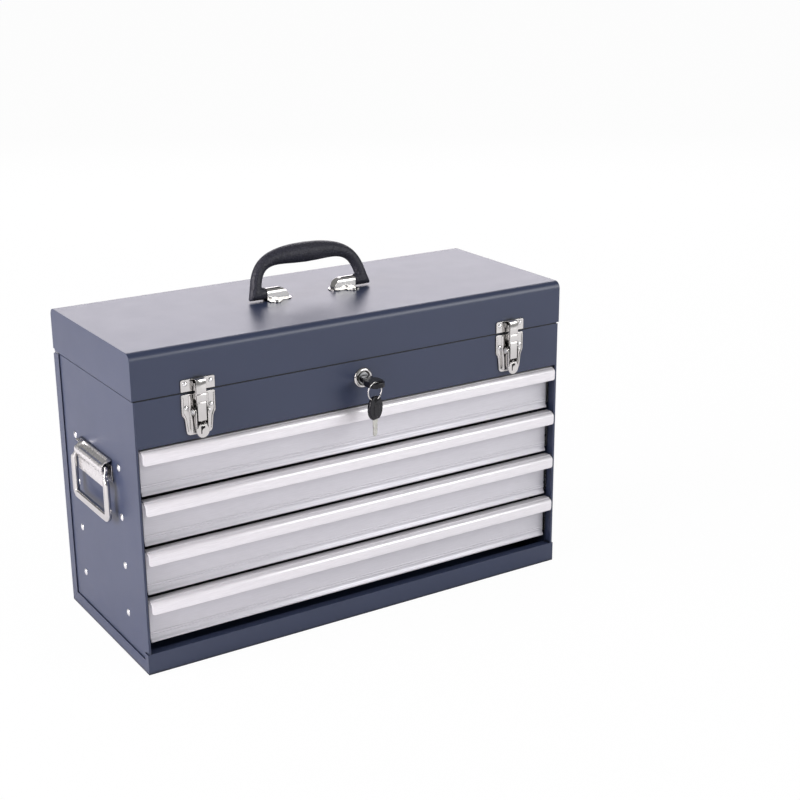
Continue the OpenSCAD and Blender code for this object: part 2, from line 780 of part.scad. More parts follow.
// The lid's section in Y and Z, shrunk by an inset
module lid_outline(inset) {
    r = lid_fold_r - inset;
    front = -half_d + inset;
    back = half_d - inset;
    top = lid_top - inset;
    rect([front, lid_z - (inset > 0 ? cut : 0)], [back, top - r]);
    rect([front + r, top - r - cut], [back - r, top]);
    for (y = [front + r, back - r]) translate([y, top - r]) circle(r);
}

module lid_shell() {
    color("#3f465c") difference() {
        along_x(-half_w, half_w) lid_outline(0);
        along_x(-side_x, side_x) lid_outline(body_sheet);
        // room for the hinge knuckles
        block([-half_w - cut, hinge_y - hinge_relief, lid_z - cut],
              [half_w + cut, half_d + cut, hinge_z + hinge_relief]);
        at_hinge_rivets(hinge_leaf_h * 0.6) rivet_hole(small_shank_d);
        at_latches() at_latch_rivets(strike_u, strike_rivet_z) rivet_hole(small_shank_d);
        at_handle_rivets() rivet_hole(small_shank_d);
    }
}

// Two full-length hat channels under the lid's top
module lid_stiffeners() {
    under = lid_top - body_sheet;
    half_length = side_x - 2;
    foot_w = 4;
    color("#3f465c") for (side = [-1, 1]) along_x(-half_length, half_length) {
        y = handle_y + side * stiffener_offset;
        for (edge = [-1, 1]) {
            near = y + edge * (stiffener_w / 2 - body_sheet);
            far = y + edge * stiffener_w / 2;
            foot = y + edge * (stiffener_w / 2 + foot_w);
            rect([min(near, far), under - stiffener_h], [max(near, far), under]);
            rect([min(near, foot), under - body_sheet], [max(near, foot), under]);
        }
        rect([y - stiffener_w / 2, under - stiffener_h],
             [y + stiffener_w / 2, under - stiffener_h + body_sheet]);
    }
}

// The hook behind the lid's front wall that the lock's cam holds down
module lid_catch() {
    sheet = 1.5;
    near = -cam_len - 6;
    hook = 4;
    cam_y = fascia_y + plug_end;
    wall_y = -half_d + body_sheet;
    end_y = cam_y + cam_t + 0.5;
    shelf_z = seam_z + rim_h + 4;
    plate_top = shelf_z + 13;
    low_x = near - catch_w * 0.6;
    high_x = near + catch_w * 0.4;
    foot_top = lock_z - cam_w / 2 - 0.7;
    foot_z = foot_top - 2 * sheet;
    color("#b9bcc0") {
        block([low_x, wall_y, shelf_z], [high_x, wall_y + sheet, plate_top]);
        block([low_x, wall_y, shelf_z], [high_x, end_y, shelf_z + sheet]);
        block([near - hook, cam_y - 0.5, foot_z], [near, end_y, shelf_z + sheet]);
        block([near - hook, cam_y - 0.5, foot_z], [near + catch_w * 0.6, end_y, foot_top]);
    }
}

module lid_rivets() {
    color("#d9dadd") {
        at_hinge_rivets(hinge_leaf_h * 0.6) rivet(small_head_d, small_shank_d, body_sheet + hinge_leaf_t);
        at_latches() at_latch_rivets(strike_u + latch_sheet, strike_rivet_z)
            rivet(small_head_d, small_shank_d, latch_sheet + body_sheet);
        at_handle_rivets() rivet(small_head_d, small_shank_d, bracket_sheet + body_sheet);
    }
}

// ---------- top handle ----------

// The space under a half-round tunnel with a rounded, sloping inner end, from the lid up to its roof
module bracket_tunnel(r, nose, overrun) {
    inner = bracket_outer - bracket_len;
    roof = handle_z + r;
    intersection() {
        along_x(inner - nose, bracket_outer + overrun) {
            translate([handle_y, handle_z]) circle(r);
            rect([handle_y - r, lid_top - overrun], [handle_y + r, handle_z]);
        }
        along_y(handle_y - r - cut, handle_y + r + cut) {
            rect([inner, lid_top - overrun], [bracket_outer + overrun, roof]);
            intersection() {
                translate([inner, lid_top]) scale([nose / (roof - lid_top), 1]) circle(roof - lid_top);
                rect([inner - nose, lid_top], [inner + cut, roof]);
            }
            rect([inner - nose, lid_top - overrun], [inner + cut, lid_top + 0.01]);
        }
    }
}

// One bracket, on the +X side: the tunnel in sheet metal, with a flange on the lid
module handle_bracket() {
    inner = bracket_outer - bracket_len;
    flange = 4;       // how far the flange runs past the housing, and the radius of its corners
    foot = bracket_foot - flange;
    difference() {
        union() {
            bracket_tunnel(arch_r, bracket_nose, 0);
            block([inner, handle_y - foot, lid_top],
                  [bracket_outer, handle_y + foot, lid_top + bracket_sheet]);
            translate([bracket_rivet_x, handle_y, lid_top]) for (s = [-1, 1])
                translate([0, s * bracket_rivet_y, 0]) cylinder(r = flange, h = bracket_sheet);
            translate([inner - bracket_nose + arch_r, handle_y, lid_top])
                cylinder(r = arch_r + flange, h = bracket_sheet);
            block([inner - bracket_nose + arch_r, handle_y - arch_r - flange, lid_top],
                  [inner + cut, handle_y + arch_r + flange, lid_top + bracket_sheet]);
        }
        bracket_tunnel(bracket_bore_r, bracket_nose - bracket_sheet, cut);
        at_handle_rivets() rivet_hole(small_shank_d);
    }
}

module handle_brackets() { color("#dadbdd") both_sides() handle_bracket(); }

// Steel pivot rods that run from inside the brackets into the ends of the grip
module handle_rods() {
    tip = bracket_outer - bracket_len;
    color("#c9cbce") both_sides() translate([tip, handle_y, handle_z]) rotate([0, 90, 0]) {
        cylinder(d = handle_rod_d, h = grip_end_x + rod_hold - tip);
    }
}

// The grip's middle line: out from each bracket, then sharply up and over a squared arch whose legs
// lean in.
// Each ring of the surface stands in the mitre between the two straight stretches that meet there.
half_arch = handle_w / 2;
swell_end = half_arch - 8;
grip_sides = 16;
function power(v, p) = pow(abs(v), p);
function arch_rise(a) = handle_rise * power(sin(a), 2 / handle_square);
function arch_reach(a) = (half_arch - leg_slope * arch_rise(a)) * power(cos(a), 2 / handle_square);
function arch_point(a) = [arch_reach(a), arch_rise(a)];
grip_half = concat([[grip_end_x, 0], [half_arch, 0]], [for (i = [1:12]) arch_point(i * 7.5)]);
grip_line = concat(grip_half, [for (i = [len(grip_half) - 2:-1:0]) [-grip_half[i][0], grip_half[i][1]]]);
grip_last = len(grip_line) - 1;
function stretch_dir(i) = let (d = grip_line[i + 1] - grip_line[i]) d / norm(d);
function mitre_dir(i) =
    i == 0 || i == grip_last ? [1, 0]
    : let (d = stretch_dir(i - 1) + stretch_dir(i)) d / norm(d);
function swell(x) = pow(max(0, cos(90 * min(abs(x) / swell_end, 1))), 1.4);
function grip_r(x) = leg_r + (grip_mid_d - grip_leg_d) / 2 * swell(x);
function grip_ring(i) =
    let (p = grip_line[i], d = mitre_dir(i), r = grip_r(p[0]),
         flat = i == 0 || i == grip_last ? r : r / (d * stretch_dir(i)))
    [for (k = [0:grip_sides - 1]) let (a = 360 * k / grip_sides)
        [p[0] + flat * cos(a) * d[1], r * sin(a), p[1] - flat * cos(a) * d[0]]];

module handle_grip() {
    points = [for (i = [0:grip_last]) each grip_ring(i)];
    rows = [for (i = [0:grip_last - 1], k = [0:grip_sides - 1])
        let (a = i * grip_sides + k, b = i * grip_sides + (k + 1) % grip_sides)
        [a, b, b + grip_sides, a + grip_sides]];
    ends = [[for (k = [grip_sides - 1:-1:0]) k], [for (k = [0:grip_sides - 1]) grip_last * grip_sides + k]];
    color("#26272a") translate([0, handle_y, handle_z]) rotate([-handle_lean, 0, 0]) difference() {
        polyhedron(points, concat(rows, ends));
        both_sides() translate([grip_end_x - cut, 0, 0]) rotate([0, 90, 0])
            cylinder(d = handle_rod_d, h = rod_hold + cut);
    }
}

// ---------- side handles ----------

// A part of the bracket's curl, from the wall over the top by an angle
module curl_section(wrap) {
    outer_r = curl_r + side_sheet;
    far = 2 * outer_r;
    translate([curl_x, side_handle_z]) difference() {
        circle(outer_r, $fn = 96);
        circle(curl_r, $fn = 96);
        polygon([[0, 0], [-far, 0], [-far, -far], [far, -far],
                 [far * cos(180 - wrap), far * sin(180 - wrap)]]);
    }
}

// The right-hand bracket: a plate on the wall that curls over the bail's barrel, with a lip between its legs
module side_handle_bracket() {
    y0 = side_handle_y - side_bracket_len / 2;
    lip_in = curl_r * cos(45);
    lip_x = curl_x + lip_in - side_sheet / 3;
    plate_foot = side_handle_z - side_rivet_drop - 5;
    end_wrap = 160;   // the curl stops here, so that the bail's legs can swing up
    lip_wrap = 225;
    color("#dadbdd") difference() {
        union() {
            along_y(y0, y0 + side_bracket_len) {
                rect([side_x, plate_foot], [side_x + side_sheet, side_handle_z]);
                curl_section(end_wrap);
            }
            along_y(side_handle_y - lip_half, side_handle_y + lip_half) {
                curl_section(lip_wrap);
                rect([lip_x, side_handle_z - side_lip_drop], [lip_x + side_sheet, side_handle_z - lip_in]);
            }
        }
        at_side_handle_rivets() rivet_hole(rivet_shank_d);
    }
}

module side_handle_brackets() { both_sides() side_handle_bracket(); }

// The right-hand bail: a rolled barrel in the curl and a loop of channel section, open towards the wall
module side_bail() {
    half = side_bail_w / 2;
    low = side_handle_z - side_bail_drop;
    corner = 9;
    inner_corner = 3;
    back_x = curl_x;
    face_x = back_x + bail_sheet;
    rim_x = back_x - bail_rim;
    color("#dadbdd") {
        translate([curl_x, side_handle_y - half, side_handle_z]) rotate([-90, 0, 0]) difference() {
            cylinder(r = bail_barrel_r, h = side_bail_w);
            translate([0, 0, -cut]) cylinder(r = bail_barrel_r - bail_sheet, h = side_bail_w + 2 * cut);
        }
        difference() {
            along_x(rim_x, face_x) bail_outline(half, low, corner);
            along_x(rim_x - cut, back_x) difference() {
                bail_outline(half - bail_sheet, low + bail_sheet, corner - bail_sheet);
                bail_outline(half - bail_strap + bail_sheet, low + bail_strap - bail_sheet, inner_corner);
            }
            along_x(rim_x - cut, face_x + cut)
                bail_outline(half - bail_strap, low + bail_strap, inner_corner);
            translate([curl_x, side_handle_y - half - cut, side_handle_z]) rotate([-90, 0, 0])
                cylinder(r = bail_barrel_r - bail_sheet / 2, h = side_bail_w + 2 * cut);
        }
    }
}

// A loop's outline in Y and Z, from its foot up into the barrel, with rounded lower corners
module bail_outline(half, low, r) {
    top = side_handle_z - bail_barrel_r + bail_sheet / 2;
    translate([side_handle_y, 0]) {
        rect([-half + r, low], [half - r, low + r]);
        rect([-half, low + r], [half, top]);
        for (s = [-1, 1]) translate([s * (half - r), low + r]) circle(r);
    }
}

module side_bail_right() { side_bail(); }
module side_bail_left() { mirror([1, 0, 0]) side_bail(); }

// ---------- latches ----------

// Extrudes an outline drawn in X and Z between two distances in front of the fascia
module in_front(u0, u1) {
    along_y(u_to_y(u1), u_to_y(u0)) children();
}

module latch_plates() {
    half = latch_w / 2;
    z1 = latch_top_z;
    z0 = z1 - latch_plate_h;
    shoulder_z = z1 - latch_plate_h * 0.49;
    waist_z = z1 - latch_plate_h * 0.62;
    color("#dadbdd") at_latches() difference() {
        union() {
            in_front(0, latch_sheet) polygon([
                [-half + 1, z1], [-half, z1 - 1], [-half, shoulder_z], [-half + 2.5, waist_z],
                [-half + 5, z0 + 1], [-half + 6, z0], [half - 6, z0], [half - 5, z0 + 1],
                [half - 2.5, waist_z], [half, shoulder_z], [half, z1 - 1], [half - 1, z1]
            ]);
            // raised edges beside the lever
            for (s = [-1, 1]) in_front(0, 2 * latch_sheet) translate([s * (half - latch_sheet / 2), 0])
                rect([-latch_sheet / 2, shoulder_z + 1], [latch_sheet / 2, z1 - 2]);
            // ears for the pivot pin
            both_sides() along_x(ear_x, ear_x + arm_t) {
                rect([u_to_y(latch_pin_out), latch_pivot_z - 5], [u_to_y(0), latch_pivot_z + 5]);
                translate([u_to_y(latch_pin_out), latch_pivot_z]) circle(3.5);
            }
        }
        translate([-half, u_to_y(latch_pin_out), latch_pivot_z]) rotate([0, 90, 0])
            cylinder(d = latch_pin_d, h = latch_w);
        at_latch_rivets(latch_sheet, latch_rivet_z) rivet_hole(small_shank_d);
    }
}

module latch_pivot_pins() {
    length = ear_x + arm_t;
    color("#c9cbce") at_latches() translate([0, u_to_y(latch_pin_out), latch_pivot_z]) rotate([0, 90, 0]) {
        translate([0, 0, -length]) cylinder(d = latch_pin_d, h = 2 * length);
        for (s = [-1, 1]) translate([0, 0, s * (length + 0.5) - 0.5]) cylinder(d = latch_pin_d + 1.6, h = 1);
    }
}

module latch_strikes() {
    half = latch_w / 2;
    loop = 6.5;
    z1 = strike_z + strike_h;
    color("#dadbdd") at_latches() difference() {
        union() {
            in_front(strike_u, strike_u + latch_sheet)
                polygon([
                    [-half, strike_z], [-half, z1 - 1], [-half + 1, z1],
                    [half - 1, z1], [half, z1 - 1], [half, strike_z]
                ]);
            in_front(strike_u, strike_loop_u) rect([-loop, strike_z + 5], [loop, strike_z + 10]);
        }
        at_latch_rivets(strike_u, strike_rivet_z) rivet_hole(small_shank_d);
    }
}

// The lever that is pulled out to open a latch, with the claw's pin across it
module latch_lever(side) {
    pivot = [u_to_y(latch_pin_out), latch_pivot_z];
    claw_pin = [u_to_y(claw_pin_u), latch_pivot_z - claw_pin_drop];
    web_u = claw_u + 0.1;
    web_top = latch_pivot_z - 13;
    outer = arm_x + arm_t;
    tip_r = 5;
    color("#e2e3e5") translate([side * latch_x, 0, 0]) {
        difference() {
            union() {
                both_sides() along_x(arm_x, arm_x + arm_t) {
                    translate(pivot) circle(4);
                    translate(claw_pin) circle(2.8);
                    rect([u_to_y(web_u + latch_sheet), web_top - 4],
                         [u_to_y(claw_pin_u - 1.5), latch_pivot_z]);
                }
                in_front(web_u, web_u + latch_sheet) {
                    polygon([
                        [-outer, web_top], [outer, web_top],
                        [tip_r, lever_tip_z + tip_r], [-tip_r, lever_tip_z + tip_r]
                    ]);
                    translate([0, lever_tip_z + tip_r]) circle(tip_r);
                }
            }
            translate([-latch_w / 2, pivot[0], pivot[1]]) rotate([0, 90, 0])
                cylinder(r = latch_pin_d / 2 + pin_clear, h = latch_w);
            // eye for a padlock
            in_front(web_u - cut, web_u + latch_sheet + cut) translate([0, lever_tip_z + 8]) {
                square([3.2, 5], center = true);
                for (s = [-1, 1]) translate([0, s * 2.5]) circle(1.6);
            }
        }
        translate([-outer, claw_pin[0], claw_pin[1]]) rotate([0, 90, 0])
            cylinder(r = claw_pin_r, h = 2 * outer);
    }
}

// The claw that reaches up from the lever and over the front of the strike
module latch_claw(side) {
    pin_z = latch_pivot_z - claw_pin_drop;
    top = strike_z + strike_h - 0.2;
    color("#dadbdd") translate([side * latch_x, 0, 0]) difference() {
        along_x(-claw_w / 2, claw_w / 2) {
            translate([u_to_y(claw_pin_u), pin_z]) circle(2.5);
            rect([u_to_y(claw_u + claw_t), pin_z - 1.8], [u_to_y(claw_pin_u), pin_z + 1.8]);
            rect([u_to_y(claw_u + claw_t), pin_z - 1.8], [u_to_y(claw_u), top]);
            rect([u_to_y(claw_u + claw_t), top - latch_sheet], [u_to_y(strike_loop_u + claw_gap), top]);
        }
        translate([-claw_w, u_to_y(claw_pin_u), pin_z]) rotate([0, 90, 0])
            cylinder(r = claw_pin_r + pin_clear, h = 2 * claw_w);
    }
}

module latch_lever_left() { latch_lever(-1); }
module latch_lever_right() { latch_lever(1); }
module latch_claw_left() { latch_claw(-1); }
module latch_claw_right() { latch_claw(1); }

// ---------- lock and keys ----------

// Moves to the lock's axis: +Z now points out of the front and +Y points up
module at_lock() {
    facing_front([0, fascia_y, lock_z]) children();
}

module lock_body() {
    flange_r = lock_flange_d / 2;
    color("#d5d6d8") at_lock() difference() {
        union() {
            translate([0, 0, -lock_depth]) cylinder(d = lock_barrel_d, h = lock_depth);
            cylinder(r = flange_r, h = 1.2);
            translate([0, 0, 1.2]) cylinder(r1 = flange_r, r2 = flange_r - 1.4, h = 1, $fn = 96);
        }
        translate([0, 0, -lock_depth - cut]) cylinder(r = plug_r + pin_clear, h = lock_depth + 4);
    }
}

module lock_nut() {
    color("#c9cbce") at_lock() translate([0, 0, -body_sheet - nut_h]) difference() {
        cylinder(d = lock_barrel_d * 1.525, h = nut_h, $fn = 6);
        translate([0, 0, -cut]) cylinder(d = lock_barrel_d, h = nut_h + 2 * cut);
    }
}

module lock_plug() {
    color("#cfd0d2") at_lock() difference() {
        union() {
            translate([0, 0, -plug_end]) cylinder(r = plug_r, h = plug_end + plug_out);
            translate([0, 0, -plug_end - cam_t]) cylinder(r = stud_r, h = cam_t + cut);
        }
        translate([-key_blade_w / 2 - keyway_gap, -key_blade_t / 2 - keyway_gap / 2, -key_in - 0.5])
            cube([key_blade_w + 2 * keyway_gap, key_blade_t + keyway_gap, key_in + 5]);
    }
}

module lock_cam() {
    color("#b9bcc0") at_lock() translate([0, 0, -plug_end - cam_t]) linear_extrude(cam_t) difference() {
        union() {
            circle(7);
            rect([-cam_w / 2, 0], [cam_w / 2, cam_len]);
        }
        circle(stud_r);
    }
}

module cam_screw() {
    color("#c9cbce") at_lock() translate([0, 0, -plug_end - cam_t - 1.6]) cylinder(r = 5, h = 1.6);
}

module key_blade() {
    color("#cbbf95") at_lock() {
        translate([-key_blade_w / 2, -key_blade_t / 2, -key_in])
            cube([key_blade_w, key_blade_t, key_in + key_out]);
    }
}

// The bow's outline, shrunk by an inset: a rounded head with a narrower neck
module bow_outline(inset) {
    r = key_bow_w / 2 - inset;
    for (u = [bow_near_u, bow_far_u]) translate([0, u]) circle(r);
    rect([-r, bow_near_u], [r, bow_far_u]);
    rect([-6 + inset, 3 + inset], [6 - inset, bow_near_u]);
}

module key_bow() {
    edge = 0.9;
    slot_w = 4.5;
    // drawn in X and the distance in front of the fascia, then laid flat
    color("#1d1e21") translate([0, fascia_y, lock_z]) mirror([0, 1, 0]) difference() {
        union() {
            translate([0, 0, -key_bow_t / 2 + edge]) linear_extrude(key_bow_t - 2 * edge) bow_outline(0);
            translate([0, 0, -key_bow_t / 2]) linear_extrude(key_bow_t) bow_outline(edge);
        }
        translate([0, key_slot_u, -key_bow_t]) linear_extrude(2 * key_bow_t) {
            square([2 * bow_slot_half - slot_w, slot_w], center = true);
            for (s = [-1, 1]) translate([s * (bow_slot_half - slot_w / 2), 0]) circle(slot_w / 2);
        }
        // pocket for the blade
        translate([-key_blade_w / 2, 0, -key_blade_t / 2]) cube([key_blade_w, key_out, key_blade_t]);
    }
    // round rail that the ring swings on
    color("#1d1e21") at_lock() translate([-ring_rail_x, 0, key_slot_u - slot_w / 2])
        cylinder(r = rail_r, h = slot_w);
}

module key_ring() {
    color("#d9dadd") translate([-ring_rail_x, u_to_y(key_slot_u), lock_z - ring_drop]) rotate([90, 0, 0])
        rotate_extrude($fn = 96) translate([key_ring_r, 0]) circle(d = key_ring_d);
}

// ---------- the nodes ----------

base_pan();
rear_panel();
side_panel_left();
side_panel_right();
front_fascia();
tray_floor();
tray_mat();
lock_channel();
lock_bar();
cabinet_rivets();
hinge_leaf_cabinet();
hinge_leaf_lid();
hinge_pin();
slide_outer_members();
slide_middle_1();
slide_middle_2();
slide_middle_3();
slide_middle_4();
slide_inner_1();
slide_inner_2();
slide_inner_3();
slide_inner_4();
drawer_pan_1();
drawer_pan_2();
drawer_pan_3();
drawer_pan_4();
drawer_front_1();
drawer_front_2();
drawer_front_3();
drawer_front_4();
drawer_mat_1();
drawer_mat_2();
drawer_mat_3();
drawer_mat_4();
lid_shell();
lid_stiffeners();
lid_catch();
lid_rivets();
handle_brackets();
handle_rods();
handle_grip();
side_handle_brackets();
side_bail_left();
side_bail_right();
latch_plates();
latch_pivot_pins();
latch_strikes();
latch_lever_left();
latch_lever_right();
latch_claw_left();
latch_claw_right();
lock_body();
lock_nut();
lock_plug();
lock_cam();
cam_screw();
key_blade();
key_bow();
key_ring();
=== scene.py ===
# %% [markdown]
# # A portable tool box with drawers
# The box is folded from thin sheet steel: a cabinet, a hinged lid, and four drawers on slides.
# Its solids come ready made from the CAD frame. This script dresses them: it gives every solid a finish,
# and it replaces those whose looks need more than a plain solid, such as the stamped latches.
# Blender counts in metres, so the small sizes of sheet metal are written in millimetres, times MM.

import json
import math

import bmesh
import bpy
from mathutils import Matrix, Vector


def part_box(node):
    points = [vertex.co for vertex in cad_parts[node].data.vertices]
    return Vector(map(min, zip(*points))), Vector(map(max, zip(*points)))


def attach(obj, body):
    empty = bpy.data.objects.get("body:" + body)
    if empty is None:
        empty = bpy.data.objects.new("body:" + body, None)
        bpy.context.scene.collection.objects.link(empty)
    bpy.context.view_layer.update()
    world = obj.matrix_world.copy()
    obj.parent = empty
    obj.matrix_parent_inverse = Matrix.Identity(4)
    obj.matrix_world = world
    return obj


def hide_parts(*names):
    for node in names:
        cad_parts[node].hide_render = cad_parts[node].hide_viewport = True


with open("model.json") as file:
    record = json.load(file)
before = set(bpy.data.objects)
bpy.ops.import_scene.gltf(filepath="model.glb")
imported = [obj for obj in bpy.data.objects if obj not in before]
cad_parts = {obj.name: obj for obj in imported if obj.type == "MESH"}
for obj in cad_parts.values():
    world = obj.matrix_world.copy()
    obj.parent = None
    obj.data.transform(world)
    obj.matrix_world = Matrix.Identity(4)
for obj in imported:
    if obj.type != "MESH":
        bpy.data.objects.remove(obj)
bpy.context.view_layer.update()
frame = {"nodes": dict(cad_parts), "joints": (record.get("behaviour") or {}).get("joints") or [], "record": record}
nodes_of_frame = frame["nodes"]
MM = 0.001
FASCIA_Y = -104.1 * MM  # the front of the upper front panel, which carries the latches and the lock

# %% [markdown]
# ## Camera
# Such a box shows most of itself from the front left, a little above the lid. A longish lens keeps its
# upright edges nearly parallel. The camera could be placed by a matrix, but two angles and a distance
# from a point inside the box are easier to think about. A slight roll levels the picture.

# %% Aim the camera
view_target = Vector((0.11096, 0, 0.19513))
view_distance = 1.7253
view_azimuth = math.radians(-32.295)
view_elevation = math.radians(18.462)
view_roll = math.radians(-0.387)
lens_mm = 68.0
sensor_mm = 36


def link_new(name, data):
    thing = bpy.data.objects.new(name, data)
    bpy.context.scene.collection.objects.link(thing)
    return thing


def aim_camera():
    back = Vector((math.sin(view_azimuth) * math.cos(view_elevation),
                   -math.cos(view_azimuth) * math.cos(view_elevation),
                   math.sin(view_elevation)))
    level_right = Vector((0, 0, 1)).cross(back).normalized()
    level_up = back.cross(level_right)
    right = level_right * math.cos(view_roll) + level_up * math.sin(view_roll)
    up = level_up * math.cos(view_roll) - level_right * math.sin(view_roll)
    camera = link_new("camera", bpy.data.cameras.new("camera"))
    camera.matrix_world = Matrix((right, up, back)).transposed().to_4x4()
    camera.location = view_target + back * view_distance
    camera.data.lens = lens_mm
    camera.data.sensor_width = sensor_mm
    bpy.context.scene.camera = camera
    return camera


camera = aim_camera()
print("camera at", [round(c, 3) for c in camera.location])

# %% [markdown]
# ## Studio
# Satin paint and nickel show what is around them more than their own colour. So the studio is a plain
# room of one even, weak light, and the lamps do the rest. The floor could be made white with stronger
# lamps, but they would bleach the box too. Instead most of what the camera sees of the floor is a white
# glow that lights nothing, and the rest of it keeps the soft shadow under the box.

# %% Floor
bpy.context.scene.view_settings.view_transform = "Standard"
floor_size = 50.0
floor_glow = 0.97


def add_floor():
    mesh = bpy.data.meshes.new("floor")
    half = floor_size / 2
    corners = [(-half, -half, 0), (half, -half, 0), (half, half, 0), (-half, half, 0)]
    mesh.from_pydata(corners, [], [(0, 1, 2, 3)])
    floor = link_new("floor", mesh)
    material = bpy.data.materials.new("floor_paper")
    material.use_nodes = True
    tree = material.node_tree
    paper = tree.nodes["Principled BSDF"]
    paper.inputs["Base Color"].default_value = (0.86, 0.86, 0.87, 1)
    paper.inputs["Roughness"].default_value = 0.9
    glow = tree.nodes.new("ShaderNodeEmission")
    glow.inputs["Color"].default_value = (1, 1, 1, 1)
    glow.inputs["Strength"].default_value = 1.0
    path = tree.nodes.new("ShaderNodeLightPath")
    share = tree.nodes.new("ShaderNodeMath")
    share.operation = "MULTIPLY"
    share.inputs[1].default_value = floor_glow
    mix = tree.nodes.new("ShaderNodeMixShader")
    tree.links.new(path.outputs["Is Camera Ray"], share.inputs[0])
    tree.links.new(share.outputs[0], mix.inputs[0])
    tree.links.new(paper.outputs[0], mix.inputs[1])
    tree.links.new(glow.outputs[0], mix.inputs[2])
    tree.links.new(mix.outputs[0], tree.nodes["Material Output"].inputs[0])
    floor.data.materials.append(material)


add_floor()
print("floor", floor_size, "m wide")

# %% [markdown]
# ### The room
# The world is what rays meet when they miss everything. The camera sees it white, and the box is lit by a
# weaker grey, so that its dark paint keeps its depth.

# %% White surroundings
room_level = 0.26


def light_world(level):
    world = bpy.data.worlds.new("white_room")
    bpy.context.scene.world = world
    world.use_nodes = True
    tree = world.node_tree
    dim = tree.nodes["Background"]
    dim.inputs["Color"].default_value = (1, 1, 1, 1)
    dim.inputs["Strength"].default_value = level
    white = tree.nodes.new("ShaderNodeBackground")
    white.inputs["Color"].default_value = (1, 1, 1, 1)
    white.inputs["Strength"].default_value = 1.0
    path = tree.nodes.new("ShaderNodeLightPath")
    mix = tree.nodes.new("ShaderNodeMixShader")
    tree.links.new(path.outputs["Is Camera Ray"], mix.inputs[0])
    tree.links.new(dim.outputs[0], mix.inputs[1])
    tree.links.new(white.outputs[0], mix.inputs[2])
    tree.links.new(mix.outputs[0], tree.nodes["World Output"].inputs[0])


light_world(room_level)
print("room level", room_level)

# %% [markdown]
# ### Lamps
# One large soft lamp stands on the left and lights the side panel. A weaker one stands above and behind,
# for the lid, and a third in front on the right keeps the drawer fronts even. Large rectangles are chosen
# because nickel mirrors them: a small lamp would be a hard white dot on every fold.

# %% Lamps
box_middle = Vector((0, 0, 0.2))


def add_lamp(name, place, width, height, watts, tone=(1, 1, 1)):
    data = bpy.data.lights.new(name, "AREA")
    data.shape = "RECTANGLE"
    data.size = width
    data.size_y = height
    data.energy = watts
    data.color = tone
    lamp = link_new(name, data)
    lamp.location = place
    lamp.rotation_euler = (box_middle - Vector(place)).to_track_quat("-Z", "Y").to_euler()


add_lamp("lamp_left", (-2.6, 0.1, 1.2), width=2.0, height=1.8, watts=112, tone=(1, 0.955, 0.985))
add_lamp("lamp_behind", (1.5, 2.4, 1.35), width=3.2, height=1.3, watts=45, tone=(0.985, 0.94, 1))
add_lamp("lamp_front", (1.7, -2.4, 1.4), width=2.2, height=1.6, watts=59)

# %% [markdown]
# ## Finishes
# Every finish starts from one Principled shader. Three things make sheet metal look real: a fine
# bump of the right size, a roughness that isn't the same everywhere, and edges that catch the light.
# The patterns come from nodes and not from pictures, so they have no seams and hold up close by.


# %% Start a finish
def shader_of(material):
    return material.node_tree.nodes["Principled BSDF"]


def start_finish(name, colour, roughness, metallic=0.0):
    material = bpy.data.materials.new(name)
    material.use_nodes = True
    shader = shader_of(material)
    shader.inputs["Base Color"].default_value = (*colour, 1)
    shader.inputs["Roughness"].default_value = roughness
    shader.inputs["Metallic"].default_value = metallic
    return material


def add_node(material, kind, **settings):
    made = material.node_tree.nodes.new("ShaderNode" + kind)
    for key, value in settings.items():
        setattr(made, key, value)
    return made


def connect(material, source, target):
    material.node_tree.links.new(source, target)


print("finish helpers: shader_of, start_finish, add_node, connect")

# %% [markdown]
# ### Patterns
# Grain, brush marks and blotches are all noise, seen at different scales. The noise is laid out in the
# piece's own coordinates, so it stays on the metal when a drawer slides or the lid opens. Stretching the
# coordinates along one axis turns spots into brush marks.


# %% Noise in the piece's own coordinates
def local_place(material, stretch=(1, 1, 1)):
    """Where a point lies on its own piece, in metres, stretched for brushed or drawn finishes."""
    place = add_node(material, "TexCoord")
    mapping = add_node(material, "Mapping")
    mapping.inputs["Scale"].default_value = stretch
    connect(material, place.outputs["Object"], mapping.inputs["Vector"])
    return mapping.outputs["Vector"]


def noise(material, place, scale, detail, rough=0.5):
    """A pattern of soft spots; scale says how many there are to the metre."""
    made = add_node(material, "TexNoise")
    made.inputs["Scale"].default_value = scale
    made.inputs["Detail"].default_value = detail
    made.inputs["Roughness"].default_value = rough
    connect(material, place, made.inputs["Vector"])
    return made.outputs["Fac"]


def spread(material, source, low, high, from_low=0.3, from_high=0.7):
    """Turns a pattern into values between low and high."""
    made = add_node(material, "MapRange")
    made.inputs["From Min"].default_value = from_low
    made.inputs["From Max"].default_value = from_high
    made.inputs["To Min"].default_value = low
    made.inputs["To Max"].default_value = high
    connect(material, source, made.inputs["Value"])
    return made.outputs["Result"]


print("pattern helpers: local_place, noise, spread")

# %% [markdown]
# ### Colours
# A pattern becomes colour by choosing between two shades of the same paint. The inputs and outputs of a
# Mix node are named alike for each kind of data, so the ones for colour are found by their index.

# %% Blend two colours
MIX_A, MIX_B, MIX_RESULT = 6, 7, 2


def blend_colours(material, factor, first, second):
    made = add_node(material, "Mix", data_type="RGBA")
    made.inputs[MIX_A].default_value = (*first, 1)
    made.inputs[MIX_B].default_value = (*second, 1)
    connect(material, factor, made.inputs[0])
    return made


def scaled(colour, amount):
    return tuple(min(1, c * amount) for c in colour)


print("half of white is", scaled((1, 1, 1), 0.5))
